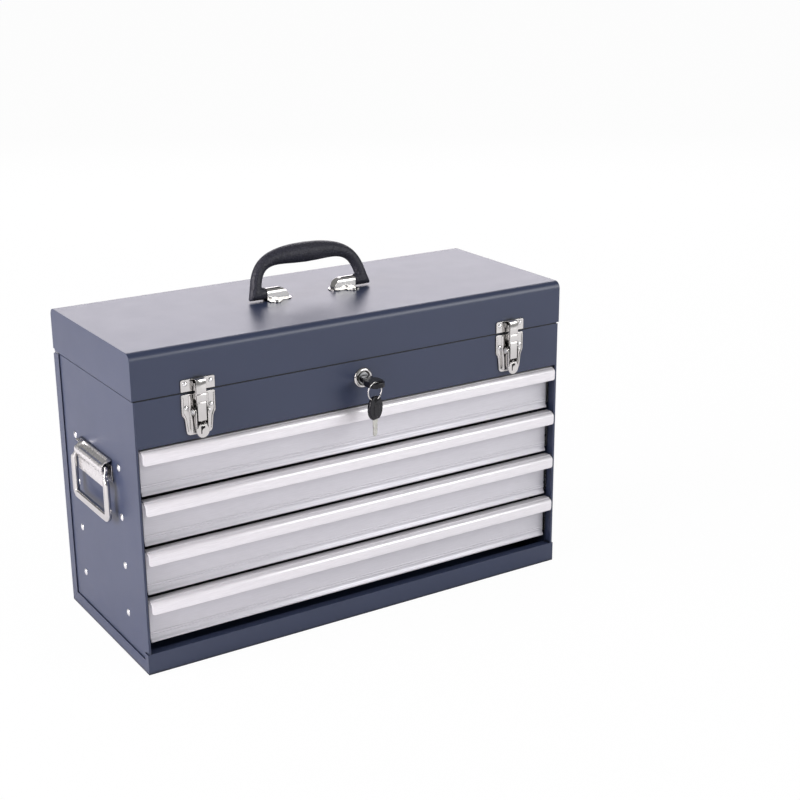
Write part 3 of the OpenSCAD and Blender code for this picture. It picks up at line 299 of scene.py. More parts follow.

# %% [markdown]
# ### Edges, relief and painted crease shade
# Folded steel has no sharp edges, so a Bevel node rounds the normals along them without touching the
# meshes, and the place where it bends them also tells where paint wears thin. Ambient Occlusion finds the
# creases, and the colour is darkened there as painted shade. Both work on any shape, where painting by hand would
# be needed anew for each piece.


# %% Round, raise and darken a surface with painted shade in its creases
def round_edges(material, radius):
    """Normals that are rounded along the edges."""
    bevel = add_node(material, "Bevel", samples=4)
    bevel.inputs["Radius"].default_value = radius
    return bevel.outputs["Normal"]


def edge_share(material, rounded_normal):
    """1 on the edges, where the rounded normal leaves the true one, and 0 on the flats."""
    true_normal = add_node(material, "NewGeometry")
    dot = add_node(material, "VectorMath", operation="DOT_PRODUCT")
    connect(material, rounded_normal, dot.inputs[0])
    connect(material, true_normal.outputs["Normal"], dot.inputs[1])
    return spread(material, dot.outputs["Value"], 1, 0, from_low=0.80, from_high=0.985)


def relief(material, pattern, depth, normal):
    bump = add_node(material, "Bump")
    bump.inputs["Distance"].default_value = depth
    bump.inputs["Strength"].default_value = 1.0
    connect(material, pattern, bump.inputs["Height"])
    connect(material, normal, bump.inputs["Normal"])
    return bump.outputs["Normal"]


def paint_crease_shade(material, colour_socket, reach, dark, full=0.25):
    """Paints shade into a colour: darkens it in the creases; it is fully dark where no more than this share of the
    sky is seen.
    """
    crease = add_node(material, "AmbientOcclusion", samples=6)
    crease.inputs["Distance"].default_value = reach
    openness = spread(material, crease.outputs["AO"], 0, 1, from_low=full, from_high=0.85)
    # painted shade: the colour is blended towards the dark one where the crease is closed
    crease_shaded = blend_colours(material, openness, dark, dark)
    connect(material, colour_socket, crease_shaded.inputs[MIX_B])
    return crease_shaded.outputs[MIX_RESULT]


print("surface helpers: round_edges, edge_share, relief, grime")

# %% [markdown]
# ### Paint
# The cabinet and lid have a satin powder coat. Powder melts into a faint orange peel about a
# millimetre across, and the colour drifts a little over a large panel. The paint thins along the
# folds, so the edges are slightly paler, and the narrow gaps between panels get painted shade that makes them
# nearly black.


# %% Powder coat
def powder_coat(name, colour, roughness):
    peel_depth, fold_r, gap_reach = 0.02 * MM, 0.6 * MM, 5 * MM
    drift, fold_tint, gap_shade = 0.04, 1.6, 0.1
    material = start_finish(name, colour, roughness)
    place = local_place(material)
    normal = round_edges(material, fold_r)
    clouds = spread(material, noise(material, place, scale=9, detail=3), 0, 1)
    shade = blend_colours(material, clouds, scaled(colour, 1 - drift), scaled(colour, 1 + drift))
    worn = blend_colours(material, edge_share(material, normal), colour, scaled(colour, fold_tint))
    connect(material, shade.outputs[MIX_RESULT], worn.inputs[MIX_A])
    # painted shade: the colour darkens to near black in gaps and creases
    crease_shaded = paint_crease_shade(material, worn.outputs[MIX_RESULT], gap_reach, scaled(colour, gap_shade), full=0.5)
    connect(material, crease_shaded, shader_of(material).inputs["Base Color"])
    peel = noise(material, place, scale=1400, detail=2)
    smears = noise(material, place, scale=40, detail=4)
    gloss = spread(material, smears, roughness - 0.008, roughness + 0.012)
    connect(material, gloss, shader_of(material).inputs["Roughness"])
    connect(material, relief(material, peel, peel_depth, normal), shader_of(material).inputs["Normal"])
    return material


navy_coat = powder_coat("navy_powder_coat", (0.030, 0.040, 0.080), 0.36)
pan_coat = powder_coat("grey_pan_coat", (0.30, 0.31, 0.33), 0.45)
print("coats:", navy_coat.name, pan_coat.name)

# %% [markdown]
# ### Drawer fronts
# The fronts have a silver lacquer with a fine metallic grain drawn out along the front, as on brushed
# metal, and the pull lip is brighter and more strongly brushed. Both are one noise, stretched sideways:
# a picture of brush marks would have to be fitted to each face of the fold, and this runs round it.


# %% Brushed silver
def brushed_silver(name, colour, roughness, metallic, streaks, depth):
    edge_r, edge_tint, uneven = 0.4 * MM, 1.12, 0.06
    material = start_finish(name, colour, roughness, metallic)
    normal = round_edges(material, edge_r)
    fine = noise(material, local_place(material, stretch=(0.03, 1, 1)), scale=2600, detail=3, rough=0.6)
    cloud = noise(material, local_place(material, stretch=(0.4, 1, 1)), scale=60, detail=2)
    light_and_dark = spread(material, fine, 0, 1)
    shade = blend_colours(material, light_and_dark, scaled(colour, 1 - streaks), scaled(colour, 1 + streaks))
    worn = blend_colours(material, edge_share(material, normal), colour, scaled(colour, edge_tint))
    connect(material, shade.outputs[MIX_RESULT], worn.inputs[MIX_A])
    connect(material, worn.outputs[MIX_RESULT], shader_of(material).inputs["Base Color"])
    gloss = spread(material, cloud, roughness - uneven, roughness + uneven)
    connect(material, gloss, shader_of(material).inputs["Roughness"])
    connect(material, relief(material, fine, depth, normal), shader_of(material).inputs["Normal"])
    return material


silver_face = brushed_silver("silver_lacquer", (0.60, 0.59, 0.63), 0.42, 0.35, streaks=0.05, depth=0.01 * MM)
# the lip's own brighter finish, which on the top strip also serves as painted light from above
silver_lip_and_painted_strip_light = brushed_silver("brushed_lip_and_painted_strip_light", (0.80, 0.78, 0.81), 0.34, 0.30, streaks=0.07, depth=0.02 * MM)
print("silver:", silver_face.name, silver_lip_and_painted_strip_light.name)

# %% [markdown]
# ### Plated steel
# Handles, latches and the lock are bright nickel: nearly a mirror, with a faint waviness left from
# stamping. The side handles' hoods are a more satin nickel. Slides and hinges are zinc, which is duller
# and blotched. One recipe makes them all, since they differ only in how rough, wavy and even they are.


# %% Nickel and zinc
def plated(name, colour, roughness, wave, wave_scale, blotch=0.05, uneven=0.35):
    edge_r, crease_reach, crease_shade = 0.5 * MM, 5 * MM, 0.16
    material = start_finish(name, colour, roughness, 1.0)
    place = local_place(material)
    normal = round_edges(material, edge_r)
    patches = noise(material, place, scale=220, detail=3)
    shade = blend_colours(material, spread(material, patches, 0, 1), scaled(colour, 1 - blotch), colour)
    # painted shade: the colour darkens in creases and at joints
    crease_shaded = paint_crease_shade(material, shade.outputs[MIX_RESULT], crease_reach, scaled(colour, crease_shade))
    connect(material, crease_shaded, shader_of(material).inputs["Base Color"])
    gloss = spread(material, patches, roughness * (1 - uneven), roughness * (1 + uneven))
    connect(material, gloss, shader_of(material).inputs["Roughness"])
    waves = noise(material, place, wave_scale, detail=2)
    connect(material, relief(material, waves, wave, normal), shader_of(material).inputs["Normal"])
    return material


nickel = plated("bright_nickel", (0.66, 0.645, 0.63), 0.15, 0.03 * MM, 140)
satin_nickel = plated("satin_nickel", (0.84, 0.82, 0.81), 0.28, 0.003 * MM, 140, blotch=0.02, uneven=0.05)
zinc = plated("zinc_plate", (0.66, 0.67, 0.69), 0.34, 0.02 * MM, 500, blotch=0.08)
rivet_steel = plated("rivet_head_steel", (0.88, 0.88, 0.88), 0.22, 0.02 * MM, 400)
blade_steel = plated("key_blade_steel", (0.60, 0.60, 0.55), 0.30, 0.02 * MM, 900)
# a near-black finish for the sheet that paints the shade behind the latch levers' openings
shade_sheet_steel = plated("painted_shade_sheet", (0.05, 0.05, 0.055), 0.30, 0.02 * MM, 500)
print("plated:", [m.name for m in (nickel, satin_nickel, zinc, rivet_steel, blade_steel, shade_sheet_steel)])

# %% [markdown]
# ### Black parts
# The grip is a soft black rubber with a leather-like grain, the mats are closed-cell foam with small
# pits, and the key's bow is moulded plastic with a slight shine. All three are nearly the same
# colour, so their grain and roughness have to tell them apart.


# %% Rubber, foam and plastic
def grained_black(name, colour, roughness, cell, depth, sheen=0.0):
    edge_r, uneven, specular, cell_middle, cell_edge = 0.4 * MM, 0.07, 0.3, 2.2, 0.6
    material = start_finish(name, colour, roughness)
    place = local_place(material)
    normal = round_edges(material, edge_r)
    cells = add_node(material, "TexVoronoi", feature="SMOOTH_F1")
    cells.inputs["Scale"].default_value = 1 / cell
    connect(material, place, cells.inputs["Vector"])
    grain = cells.outputs["Distance"]
    shade = blend_colours(material, grain, scaled(colour, cell_middle), scaled(colour, cell_edge))
    connect(material, shade.outputs[MIX_RESULT], shader_of(material).inputs["Base Color"])
    smears = noise(material, place, scale=90, detail=3)
    gloss = spread(material, smears, roughness - uneven, roughness + uneven)
    connect(material, gloss, shader_of(material).inputs["Roughness"])
    connect(material, relief(material, grain, depth, normal), shader_of(material).inputs["Normal"])
    shader_of(material).inputs["Sheen Weight"].default_value = sheen
    shader_of(material).inputs["Specular IOR Level"].default_value = specular
    return material


grip_rubber = grained_black("grip_rubber", (0.016, 0.016, 0.023), 0.52, cell=1.9 * MM, depth=0.6 * MM)
mat_foam = grained_black("mat_foam", (0.022, 0.022, 0.024), 0.92, cell=2.2 * MM, depth=0.3 * MM, sheen=0.15)
bow_plastic = grained_black("bow_plastic", (0.005, 0.005, 0.007), 0.26, cell=0.7 * MM, depth=0.01 * MM)
print("blacks:", grip_rubber.name, mat_foam.name, bow_plastic.name)

# %% [markdown]
# ## Dress the solids
# Each solid of the frame names its material slot in the record. One table from slot to finish dresses
# them all, which is safer than a list of solids, because none can be forgotten. A few solids, such as
# the rivets, get a finish of their own.

# %% Give every solid its finish
finish_of_slot = {
    "navy_paint": navy_coat,
    "silver_paint": silver_face,
    "grey_paint": pan_coat,
    "bright_nickel": nickel,
    "zinc_steel": zinc,
    "black_foam": mat_foam,
    "black_rubber": grip_rubber,
    "black_plastic": bow_plastic,
}
finish_of_node = {
    "cabinet_rivets": rivet_steel,
    "lid_rivets": rivet_steel,
    "key_blade": blade_steel,
}


def dress_solids():
    for entry in frame["record"]["subparts"]:
        solid = nodes_of_frame[entry["node"]]
        finish = finish_of_node.get(entry["node"], finish_of_slot[entry["material_slot"]])
        solid.data.materials.clear()
        solid.data.materials.append(finish)


dress_solids()
print("dressed", len(nodes_of_frame), "solids")

# %% [markdown]
# ## Pieces made here
# The rest of the script makes pieces that stand in for plain solids. Each is built as the real one is:
# cut from a flat sheet, bent, or moulded, and then its edges are rounded. These helpers are shared by all:
# they turn a bmesh into an object, apply its modifiers, smooth it, and say what it rides on.


# %% Helpers for every piece
def piece_from(name, bm):
    mesh = bpy.data.meshes.new(name)
    bm.to_mesh(mesh)
    bm.free()
    return link_new(name, mesh)


def apply_modifiers(piece):
    graph = bpy.context.evaluated_depsgraph_get()
    graph.update()
    solid = bpy.data.meshes.new_from_object(piece.evaluated_get(graph))
    piece.modifiers.clear()
    piece.data = solid
    return piece


def smooth(piece, angle=35):
    """Shades a piece smoothly across every edge that turns by less than the angle, in degrees."""
    bm = bmesh.new()
    bm.from_mesh(piece.data)
    for edge in bm.edges:
        edge.smooth = len(edge.link_faces) != 2 or edge.calc_face_angle(0) < math.radians(angle)
    for face in bm.faces:
        face.smooth = True
    bm.to_mesh(piece.data)
    bm.free()
    return piece


def rounded(piece, width, segments=2, angle=30):
    bevel = piece.modifiers.new("rounded", "BEVEL")
    bevel.width = width
    bevel.segments = segments
    bevel.limit_method = "ANGLE"
    bevel.angle_limit = math.radians(angle)
    return smooth(apply_modifiers(piece))


def finish_piece(piece, material, slot, body, *replaced):
    piece.data.materials.append(material)
    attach(piece, body)
    if replaced:
        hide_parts(*replaced)
    return piece


print("piece helpers: piece_from, apply_modifiers, smooth, rounded, finish_piece")

# %% [markdown]
# ### Sheet metal
# A folded part is a strip: a path seen from the side, with a width at each of its points. Solidify gives
# it the sheet's thickness, and keeps that thickness even round the bends. Modelling both faces of the
# sheet by hand would be twice the work, and they would drift apart.


# %% Strips and their thickness
def strip(name, path, half_widths):
    """A strip bent along a path of (out, up) points, as wide as half_widths says on each side."""
    bm = bmesh.new()
    rows = [[bm.verts.new((s * w, -u, z)) for s in (-1, 1)] for (u, z), w in zip(path, half_widths)]
    for low, high in zip(rows, rows[1:]):
        bm.faces.new((low[0], low[1], high[1], high[0]))
    return piece_from(name, bm)


def thicken(piece, thickness, offset=-1):
    sheet = piece.modifiers.new("sheet", "SOLIDIFY")
    sheet.thickness = thickness
    sheet.offset = offset
    sheet.use_even_offset = True
    return apply_modifiers(piece)


def arc(cx, cy, r, start, end, steps):
    turns = [math.radians(start + (end - start) * i / steps) for i in range(steps + 1)]
    return [(cx + r * math.cos(a), cy + r * math.sin(a)) for a in turns]


print("an arc of 90 degrees in 6 steps has", len(arc(0, 0, 1, 90, 0, 6)), "points")

# %% [markdown]
# ## Drawer fronts
# One sheet makes the whole front: a small kick at the foot, two fine ribs, the flat face, a narrow
# strip on top, a groove behind the lip, and the pull lip that bends over and hangs down in front. The face
# is cut back a little at its ends and the lip's lower corners are rounded, which is why the front is a
# strip with its own width at each point of its path.

# %% Sizes of the drawer fronts
front_low, front_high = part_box("drawer_front_1")
front_half = front_high[0]
front_height = front_high[2] - front_low[2]
sheet_t = 1.6 * MM
face_out = -front_high[1] + sheet_t
face_cut = 2 * MM
rib_heights = (8.6 * MM, 11.2 * MM)
rib_out = 0.55 * MM
rib_half = 0.6 * MM
rib_crest = 0.25 * MM
lip_out = -front_low[1]
lip_drop = 2.0 * MM
lip_height = 11.5 * MM
lip_bend = 2.6 * MM
lip_cut = 0.4 * MM
print("fronts are", round(front_height / MM, 1), "mm high, with a lip of", round(lip_height / MM, 1))


# %% Path of the drawer front
def front_path():
    """Rows of (out, up, cut, zone) from the foot to the lip's lower edge; cut shortens each end."""
    # the foot's kick, as (out from the face, up from the foot)
    kick = [(2.0, 1.1), (2.0, 2.8), (1.4, 3.7), (0.4, 4.6), (0, 5.8)]
    face = [(face_out + u * MM, z * MM) for u, z in kick]
    for rib in rib_heights:
        face += [(face_out, rib - rib_half), (face_out + rib_out, rib - rib_crest)]
        face += [(face_out + rib_out, rib + rib_crest), (face_out, rib + rib_half)]
    face += [(face_out, front_height - 2.4 * MM), (face_out + 0.5 * MM, front_height - 1.5 * MM)]
    rows = [(u, z, face_cut, "face") for u, z in face]
    # the narrow strip on top starts here and ends at the groove
    rows.append((face_out + 1.8 * MM, front_height - 1.0 * MM, face_cut * 0.4, "face"))
    lip_top = front_height - lip_drop
    # the strip ends at the first groove row, which is in the lip's zone, so the strip takes the lip's brighter
    # finish as painted light
    # the groove behind the lip, as (back from the lip's front, up from its top, cut)
    groove = [(4.7, 0.7, 0), (4.4, 0.4, 0), (4.3, -0.7, 0), (3.8, -0.7, 0), (3.6, -0.1, lip_cut * 0.8)]
    rows += [(lip_out - back * MM, lip_top + up * MM, cut, "lip") for back, up, cut in groove]
    bend = arc(lip_out - lip_bend, lip_top - lip_bend, lip_bend, 90, 0, 6)
    rows += [(u, z, lip_cut, "lip") for u, z in bend]
    # the lip's rounded lower corner, as (up from its lower edge, further cut)
    corner = [(3.0, 0), (1.6, 0.25), (0.7, 0.8), (0.2, 1.7), (0, 2.7)]
    foot = lip_top - lip_height
    rows += [(lip_out, foot + up * MM, lip_cut + cut * MM, "lip") for up, cut in corner]
    return rows


rows_of_front = front_path()
print("front profile has", len(rows_of_front), "folds")

# %% [markdown]
# ### Four fronts from one path
# All four fronts come from the same tool, so one path serves them all, raised to each drawer's own
# height. The sheet carries two finishes: the narrow strip on top and every fold from the groove onwards have the
# lip's brighter one; on the lip it is the metal's own colour, and on the strip it is painted light that falls
# there from above.


# %% Fold the four fronts
def fold_front(number):
    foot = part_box(f"drawer_front_{number}")[0].z
    path = [(u, z + foot) for u, z, cut, zone in rows_of_front]
    half_widths = [front_half - cut for u, z, cut, zone in rows_of_front]
    front = strip(f"front_sheet_{number}", path, half_widths)
    front.data.materials.append(silver_face)
    front.data.materials.append(silver_lip_and_painted_strip_light)
    # a face takes the zone of its upper row, so the top strip gets the lip's brighter finish as painted light
    for face, (u, z, cut, zone) in zip(front.data.polygons, rows_of_front[1:]):
        face.material_index = 1 if zone == "lip" else 0
    rounded(thicken(front, sheet_t), 0.35 * MM, angle=50)
    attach(front, f"drawer_{number}")
    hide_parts(f"drawer_front_{number}")
    return front


fronts = [fold_front(number) for number in (1, 2, 3, 4)]
print("folded", [front.name for front in fronts])

# %% [markdown]
# ## Bars and tubes
# The grip and the bails are bars that follow a path. A curve with a bevel could make them, but then the
# section can't change its shape on the way. So a ring of points is set at each point of the path. Each
# ring stands in the mitre of the two stretches that meet there, and a sharp corner keeps its width.


# %% Helpers for bars
def circle(cx, cy, r, steps):
    return arc(cx, cy, r, 0, 360 - 360 / steps, steps - 1)


def skin(bm, rings, closed=False):
    """Faces between each ring of points and the next, and back to the first one if closed."""
    count = len(rings[0])
    following = rings[1:] + rings[:1] if closed else rings[1:]
    for first, second in zip(rings, following):
        for k in range(count):
            bm.faces.new((first[k], first[(k + 1) % count], second[(k + 1) % count], second[k]))
    if not closed:
        bm.faces.new(reversed(rings[0]))
        bm.faces.new(rings[-1])
    bmesh.ops.recalc_face_normals(bm, faces=bm.faces)


def sweep(name, path, sections, side):
    """A bar along a path; each section lists points (across, along side) from the bar's middle."""
    bm = bmesh.new()
    rings = []
    stretches = [(b - a).normalized() for a, b in zip(path, path[1:])]
    for i, (point, section) in enumerate(zip(path, sections)):
        before = stretches[max(i - 1, 0)]
        mitre = (before + stretches[min(i, len(stretches) - 1)]).normalized()
        across = mitre.cross(side) / mitre.dot(before)
        rings.append([bm.verts.new(point + across * u + side * v) for u, v in section])
    skin(bm, rings)
    return smooth(piece_from(name, bm), 60)


def tube(name, path, radii, side, sides):
    return sweep(name, path, [circle(0, 0, r, sides) for r in radii], side)


def joint_place(name):
    return Vector(next(j["pos_m"] for j in frame["joints"] if j["name"] == name))


print("top handle turns about", [round(c / MM, 1) for c in joint_place("top_handle_pivot")])

# %% [markdown]
# ## Top handle
# The grip is moulded in one piece: thin at its legs, thick where the hand holds it. Each foot runs out
# from its bracket and turns up at a sharp corner. From there a squared arch leans in over the lid, and
# the whole grip leans back on its stops. A tube of changing radius gives all of this in one skin, which
# a moulded part has and a row of joined cylinders hasn't.

# %% Middle line of the grip
foot_x = 54.5 * MM
half_arch = 66.0 * MM
arch_rise = 37.5 * MM
leg_slope = 0.25
arch_power = 0.5
first_turn = 7.5
arch_steps = 24


def arch_line():
    """Half of the grip's middle line, from a foot to the top, as (across, rise)."""
    points = [(foot_x, 0), (half_arch, 0)]
    for i in range(arch_steps + 1):
        a = math.radians(first_turn + (90 - first_turn) * i / arch_steps)
        rise = arch_rise * math.sin(a) ** arch_power
        across = (half_arch - leg_slope * rise) * math.cos(a) ** arch_power if i < arch_steps else 0
        points.append((across, rise))
    return points


half_line = arch_line()
print("grip spans", round(2 * half_arch / MM, 1), "mm between its legs")

# %% Mould the grip
leg_r = 6.2 * MM
mid_r = 10.85 * MM
swell_end = half_arch - 8 * MM
swell_power = 1.4
grip_lean = math.radians(16)
grip_edge = 1.6 * MM
grip_sides = 40


def mould_grip():
    pivot = joint_place("top_handle_pivot")
    line = half_line + [(-x, z) for x, z in reversed(half_line[:-1])]
    turn = Matrix.Rotation(-grip_lean, 3, "X")
    path = [pivot + turn @ Vector((x, 0, z)) for x, z in line]
    swell = [max(0, math.cos(math.pi / 2 * min(1, abs(x) / swell_end))) ** swell_power for x, z in line]
    radii = [leg_r + (mid_r - leg_r) * s for s in swell]
    grip = tube("grip_moulding", path, radii, turn @ Vector((0, 1, 0)), grip_sides)
    rounded(grip, grip_edge, segments=3, angle=45)
    return finish_piece(grip, grip_rubber, "black_rubber", "top_handle", "handle_grip")


grip = mould_grip()
print(grip.name, "is", round(2 * mid_r / MM, 1), "mm thick at its middle")

# %% [markdown]
# ## Side handles
# The bail looks like a solid bar, squared and a little wider than it is deep. Its legs go up beside the
# hood, thin down, crank inwards and end on the line that they turn about, so that it folds out
# without touching the hood. The bar is swept along that line, with a section that shrinks with it.

# %% Sizes of the bails
bail_low, bail_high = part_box("side_bail_right")
bail_middle = (bail_low[1] + bail_high[1]) / 2
# half sizes of the bar's section, in millimetres
bar_half_wide = 4.5
bar_half_deep = 2.85
corner_r = 5 * MM


def handed(name, side):
    return name + ("_left" if side < 0 else "_right")


def round_section(half_width, half_depth):
    """A squared ellipse, as points of (across, along side)."""
    sides, power = 28, 0.6
    points = []
    for x, y in circle(0, 0, 1, sides):
        points.append((half_width * math.copysign(abs(x) ** power, x),
                       half_depth * math.copysign(abs(y) ** power, y)))
    return points


print("bails are", round((bail_high[1] - bail_low[1]) / MM, 1), "mm wide")


# %% Bend the bails
def bend_bail(side):
    leg = (bail_high[1] - bail_low[1]) / 2 - bar_half_wide * MM
    foot = bail_low[2] + bar_half_wide * MM
    x = bail_high[0] - bar_half_deep * MM
    pin = joint_place("bail_right_pivot")
    # the shoulder goes from the pin to the leg: (in from the leg, down from the pin, share of the way in)
    shoulder = [(9.0, 0.0, 1.0), (5.4, 0.2, 1.0), (3.9, 1.8, 0.9), (3.5, 6.0, 0.5), (2.9, 9.2, 0.25)]
    shoulder += [(1.3, 11.4, 0.1), (0.3, 13.2, 0)]
    half = [(leg - inward * MM, pin.z - down * MM, share * (x - pin.x)) for inward, down, share in shoulder]
    half += [(leg, pin.z - 16 * MM, 0), (leg, foot + 9 * MM, 0)]
    half += [(y, z, 0) for y, z in arc(leg - corner_r, foot + corner_r, corner_r, -4, -86, 8)]
    line = half + [(-y, z, depth) for y, z, depth in reversed(half)]
    path = [Vector((side * (x - depth), bail_middle + y, z)) for y, z, depth in line]
    growing = [1.7, 1.7, 1.7, 1.8, 2.3, 3.2, 4.0, 4.4]
    widths = growing + [bar_half_wide] * (len(half) - len(growing))
    sections = [round_section(w * MM, min(w, bar_half_deep) * MM) for w in widths + widths[::-1]]
    bail = sweep(handed("bail_bent", side), path, sections, Vector((1, 0, 0)))
    return finish_piece(bail, nickel, "bright_nickel", handed("bail", side), handed("side_bail", side))


bails = [bend_bail(side) for side in (-1, 1)]
print("bent", [bail.name for bail in bails])

# %% [markdown]
# ### Hoods
# A hood is rolled from one sheet: it leaves the wall, curls over the bail's ends and hangs down as a
# skirt between the legs. A shallow panel is pressed into its top. Its outer edge is cut back at both ends,
# and a slot is open beside one of them, which leaves the bail's cranked ends room to fold out. The sheet is
# one profile repeated at places along the wall, so a slot is simply faces that are left out, where cutting
# with a boolean would leave ragged edges for the bevel.

# %% Profiles of the hoods
wall_x = 253.8 * MM  # the outside of the right side panel
# profiles as (out from the wall, height) and stations along the wall, all in millimetres
hood_top = [(0.0, 210.4), (2.2, 210.3), (4.3, 209.7), (6.4, 208.6), (8.2, 207.2), (9.6, 205.6), (10.3, 204.7)]
skirt_line = [(9.9, 205.2), (10.8, 203.6), (11.2, 201.6), (11.1, 199.6), (10.3, 197.6), (9.0, 195.8)]
skirt_line += [(7.9, 194.2), (7.4, 192), (7.2, 186), (7.2, 179.4)]
foot_line = [(0.2, 204), (1.2, 203), (1.2, 187)]
hood_stations = [-39.5, -37.5, -36, -32, -30, -10, 10, 28, 30, 34.5, 37.5, 44]
skirt_stations = [-37.2, -36.6, 0, 36, 36.6]
foot_stations = [-39.5, 0, 44]
panel_span = (-32, 28)
panel_rows = (2, 3, 4)
panel_sunk = 2.2
press_way = (0.6, 0.8)  # inwards and down
bail_room = 37.5  # further out than this, the bail's ends fold through the hood's outer edge
slot_start = 34.5
hood_t = 1.0 * MM


def join(name, pieces):
    """One object from several, so that a part made of many folds stays one piece."""
    bm = bmesh.new()
    for piece in pieces:
        bm.from_mesh(piece.data)
        bpy.data.objects.remove(piece)
    return smooth(piece_from(name, bm), 40)


print("hoods are", hood_stations[-1] - hood_stations[0], "mm long")


# %% Roll the hoods
def rolled(name, profile, stations, side, pressed=(), notch=None, window=None):
    """A sheet with one profile of (out from the wall, height) all along Y.

    Pressed rows sink within the panel's span. A notch (reach, row) cuts away the rows from that one on, beyond
    its reach, and a window (start, end, first row) opens a slot between two places along Y.
    """
    bm = bmesh.new()
    rows = []
    for y in stations:
        row = []
        for i, (w, z) in enumerate(profile):
            sunk = panel_sunk if i in pressed and panel_span[0] <= y <= panel_span[1] else 0
            out, up = w - sunk * press_way[0], z - sunk * press_way[1]
            row.append(bm.verts.new((side * (wall_x + out * MM), y * MM, up * MM)))
        rows.append(row)
    for k, (first, second) in enumerate(zip(rows, rows[1:])):
        past_notch = notch and min(abs(stations[k]), abs(stations[k + 1])) >= notch[0]
        in_window = window and window[0] <= stations[k] < window[1]
        for i in range(notch[1] if past_notch else len(profile) - 1):
            if not (in_window and i >= window[2]):
                bm.faces.new((first[i], first[i + 1], second[i + 1], second[i]))
    bmesh.ops.delete(bm, geom=[v for v in bm.verts if not v.link_faces], context="VERTS")
    bmesh.ops.recalc_face_normals(bm, faces=bm.faces)
    bm.faces.ensure_lookup_table()
    if bm.faces[0].normal.z < 0:
        bmesh.ops.reverse_faces(bm, faces=bm.faces)
    return rounded(thicken(piece_from(name, bm), hood_t), 0.2 * MM, angle=50)


def roll_hoods():
    parts = []
    for side in (-1, 1):
        parts.append(rolled("hood", hood_top, hood_stations, side, pressed=panel_rows,
                            notch=(bail_room, 3), window=(slot_start, bail_room, 1)))
        parts.append(rolled("skirt", skirt_line, skirt_stations, side))
        parts.append(rolled("hood_foot", foot_line, foot_stations, side))
    return join("side_hoods", parts)


hoods = finish_piece(roll_hoods(), satin_nickel, "bright_nickel", "cabinet", "side_handle_brackets")
print(hoods.name, "have", len(hoods.data.polygons), "faces")

# %% [markdown]
# ## Latches
# A draw latch has three stamped parts: a plate on the cabinet, a lever that turns on the plate's ears, and a
# claw that the lever pulls down over the strike. A near-black sheet behind the lever's opening is painted shade. A
# press cuts each from a flat sheet, so each is drawn here as flat outlines with holes, as a 2D curve: its
# extrusion gives the thickness, and its bevel rounds the edge that the press leaves.

# %% Sizes of the latches
plate_low, plate_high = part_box("latch_plates")
claw_low, claw_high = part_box("latch_claw_right")
lever_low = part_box("latch_lever_right")[0]
plate_half = 18
latch_x = plate_high[0] - plate_half * MM
latch_pivot_z = plate_high[2] - 17.5 * MM
print("latches at x =", round(latch_x / MM, 1), "pivots at z =", round(latch_pivot_z / MM, 1))

# %% Helpers for stamped plates
# the front's own directions: across, up, and out of the box towards the viewer
FRONT = Matrix(((1, 0, 0, 0), (0, 0, -1, 0), (0, 1, 0, 0), (0, 0, 0, 1)))


def stamped(name, loops, back, front, edge, frame_of=FRONT):
    """A plate with holes between two depths; loops are closed outlines, the first one outside."""
    curve = bpy.data.curves.new(name, "CURVE")
    curve.dimensions = "2D"
    curve.fill_mode = "BOTH"
    curve.extrude = (front - back) / 2 - edge
    curve.bevel_depth = edge
    curve.bevel_resolution = 2
    curve.offset = -edge
    for loop in loops:
        spline = curve.splines.new("POLY")
        spline.points.add(len(loop) - 1)
        spline.use_cyclic_u = True
        for point, (x, y) in zip(spline.points, loop):
            point.co = (x, y, 0, 1)
    flat = link_new(name, curve)
    graph = bpy.context.evaluated_depsgraph_get()
    mesh = bpy.data.meshes.new_from_object(flat.evaluated_get(graph))
    bpy.data.objects.remove(flat)
    mesh.transform(frame_of @ Matrix.Translation((0, 0, (front + back) / 2)))
    return smooth(link_new(name, mesh))


def shifted(loop, x):
    return [(px * MM + x, pz * MM) for px, pz in loop]


def mirrored(half):
    """A closed outline from its right half, given from the top down."""
    return half + [(-x, z) for x, z in reversed(half)]


def on_front(piece, u):
    """Moves a piece stamped at the fascia's face out to where it belongs."""
    piece.data.transform(Matrix.Translation((0, FASCIA_Y - u, 0)))
    return piece


print("a stamped plate lies in the plane of the front")

# %% [markdown]
# ### Latch plates
# The plate is pressed with a raised rim and with a rib along each side of the lever, so that the lever lies
# in a groove. Two ears stand up from it and hold the pivot pin. The ribs are half-sunk tubes, which is
# quicker than denting the sheet and looks the same from outside.


# %% Ribs and upright walls
def ridge(name, path, width, height, x, u):
    """A low rounded rib along a path on the front, as a press leaves it."""
    points = [Vector((px * MM + x, FASCIA_Y - u, pz * MM)) for px, pz in path]
    rib = tube(name, points, [width * MM] * len(points), Vector((0, 1, 0)), 16)
    flatten = Matrix.Diagonal((1, height / width, 1, 1))
    around = Matrix.Translation((0, FASCIA_Y - u, 0))
    rib.data.transform(around @ flatten @ around.inverted())
    return rib


def side_sheet(name, outline, x, thickness):
    """A flat wall that stands on edge, from an outline of (distance in front of the fascia, height)."""
    bm = bmesh.new()
    bm.faces.new([bm.verts.new((x, FASCIA_Y - u * MM, z * MM)) for u, z in outline])
    wall = thicken(piece_from(name, bm), thickness, offset=0)
    return rounded(wall, thickness * 0.2)


print("ribs and walls stand out from y =", round(FASCIA_Y / MM, 1))

# %% Press the latch plates
plate_t = 1.2 * MM
press_edge = 0.25 * MM
screw_x, screw_down, screw_r = 13.4, 13.5, 1.6
ear_x, ear_out, ear_r = 7.85, 5.2, 3.4


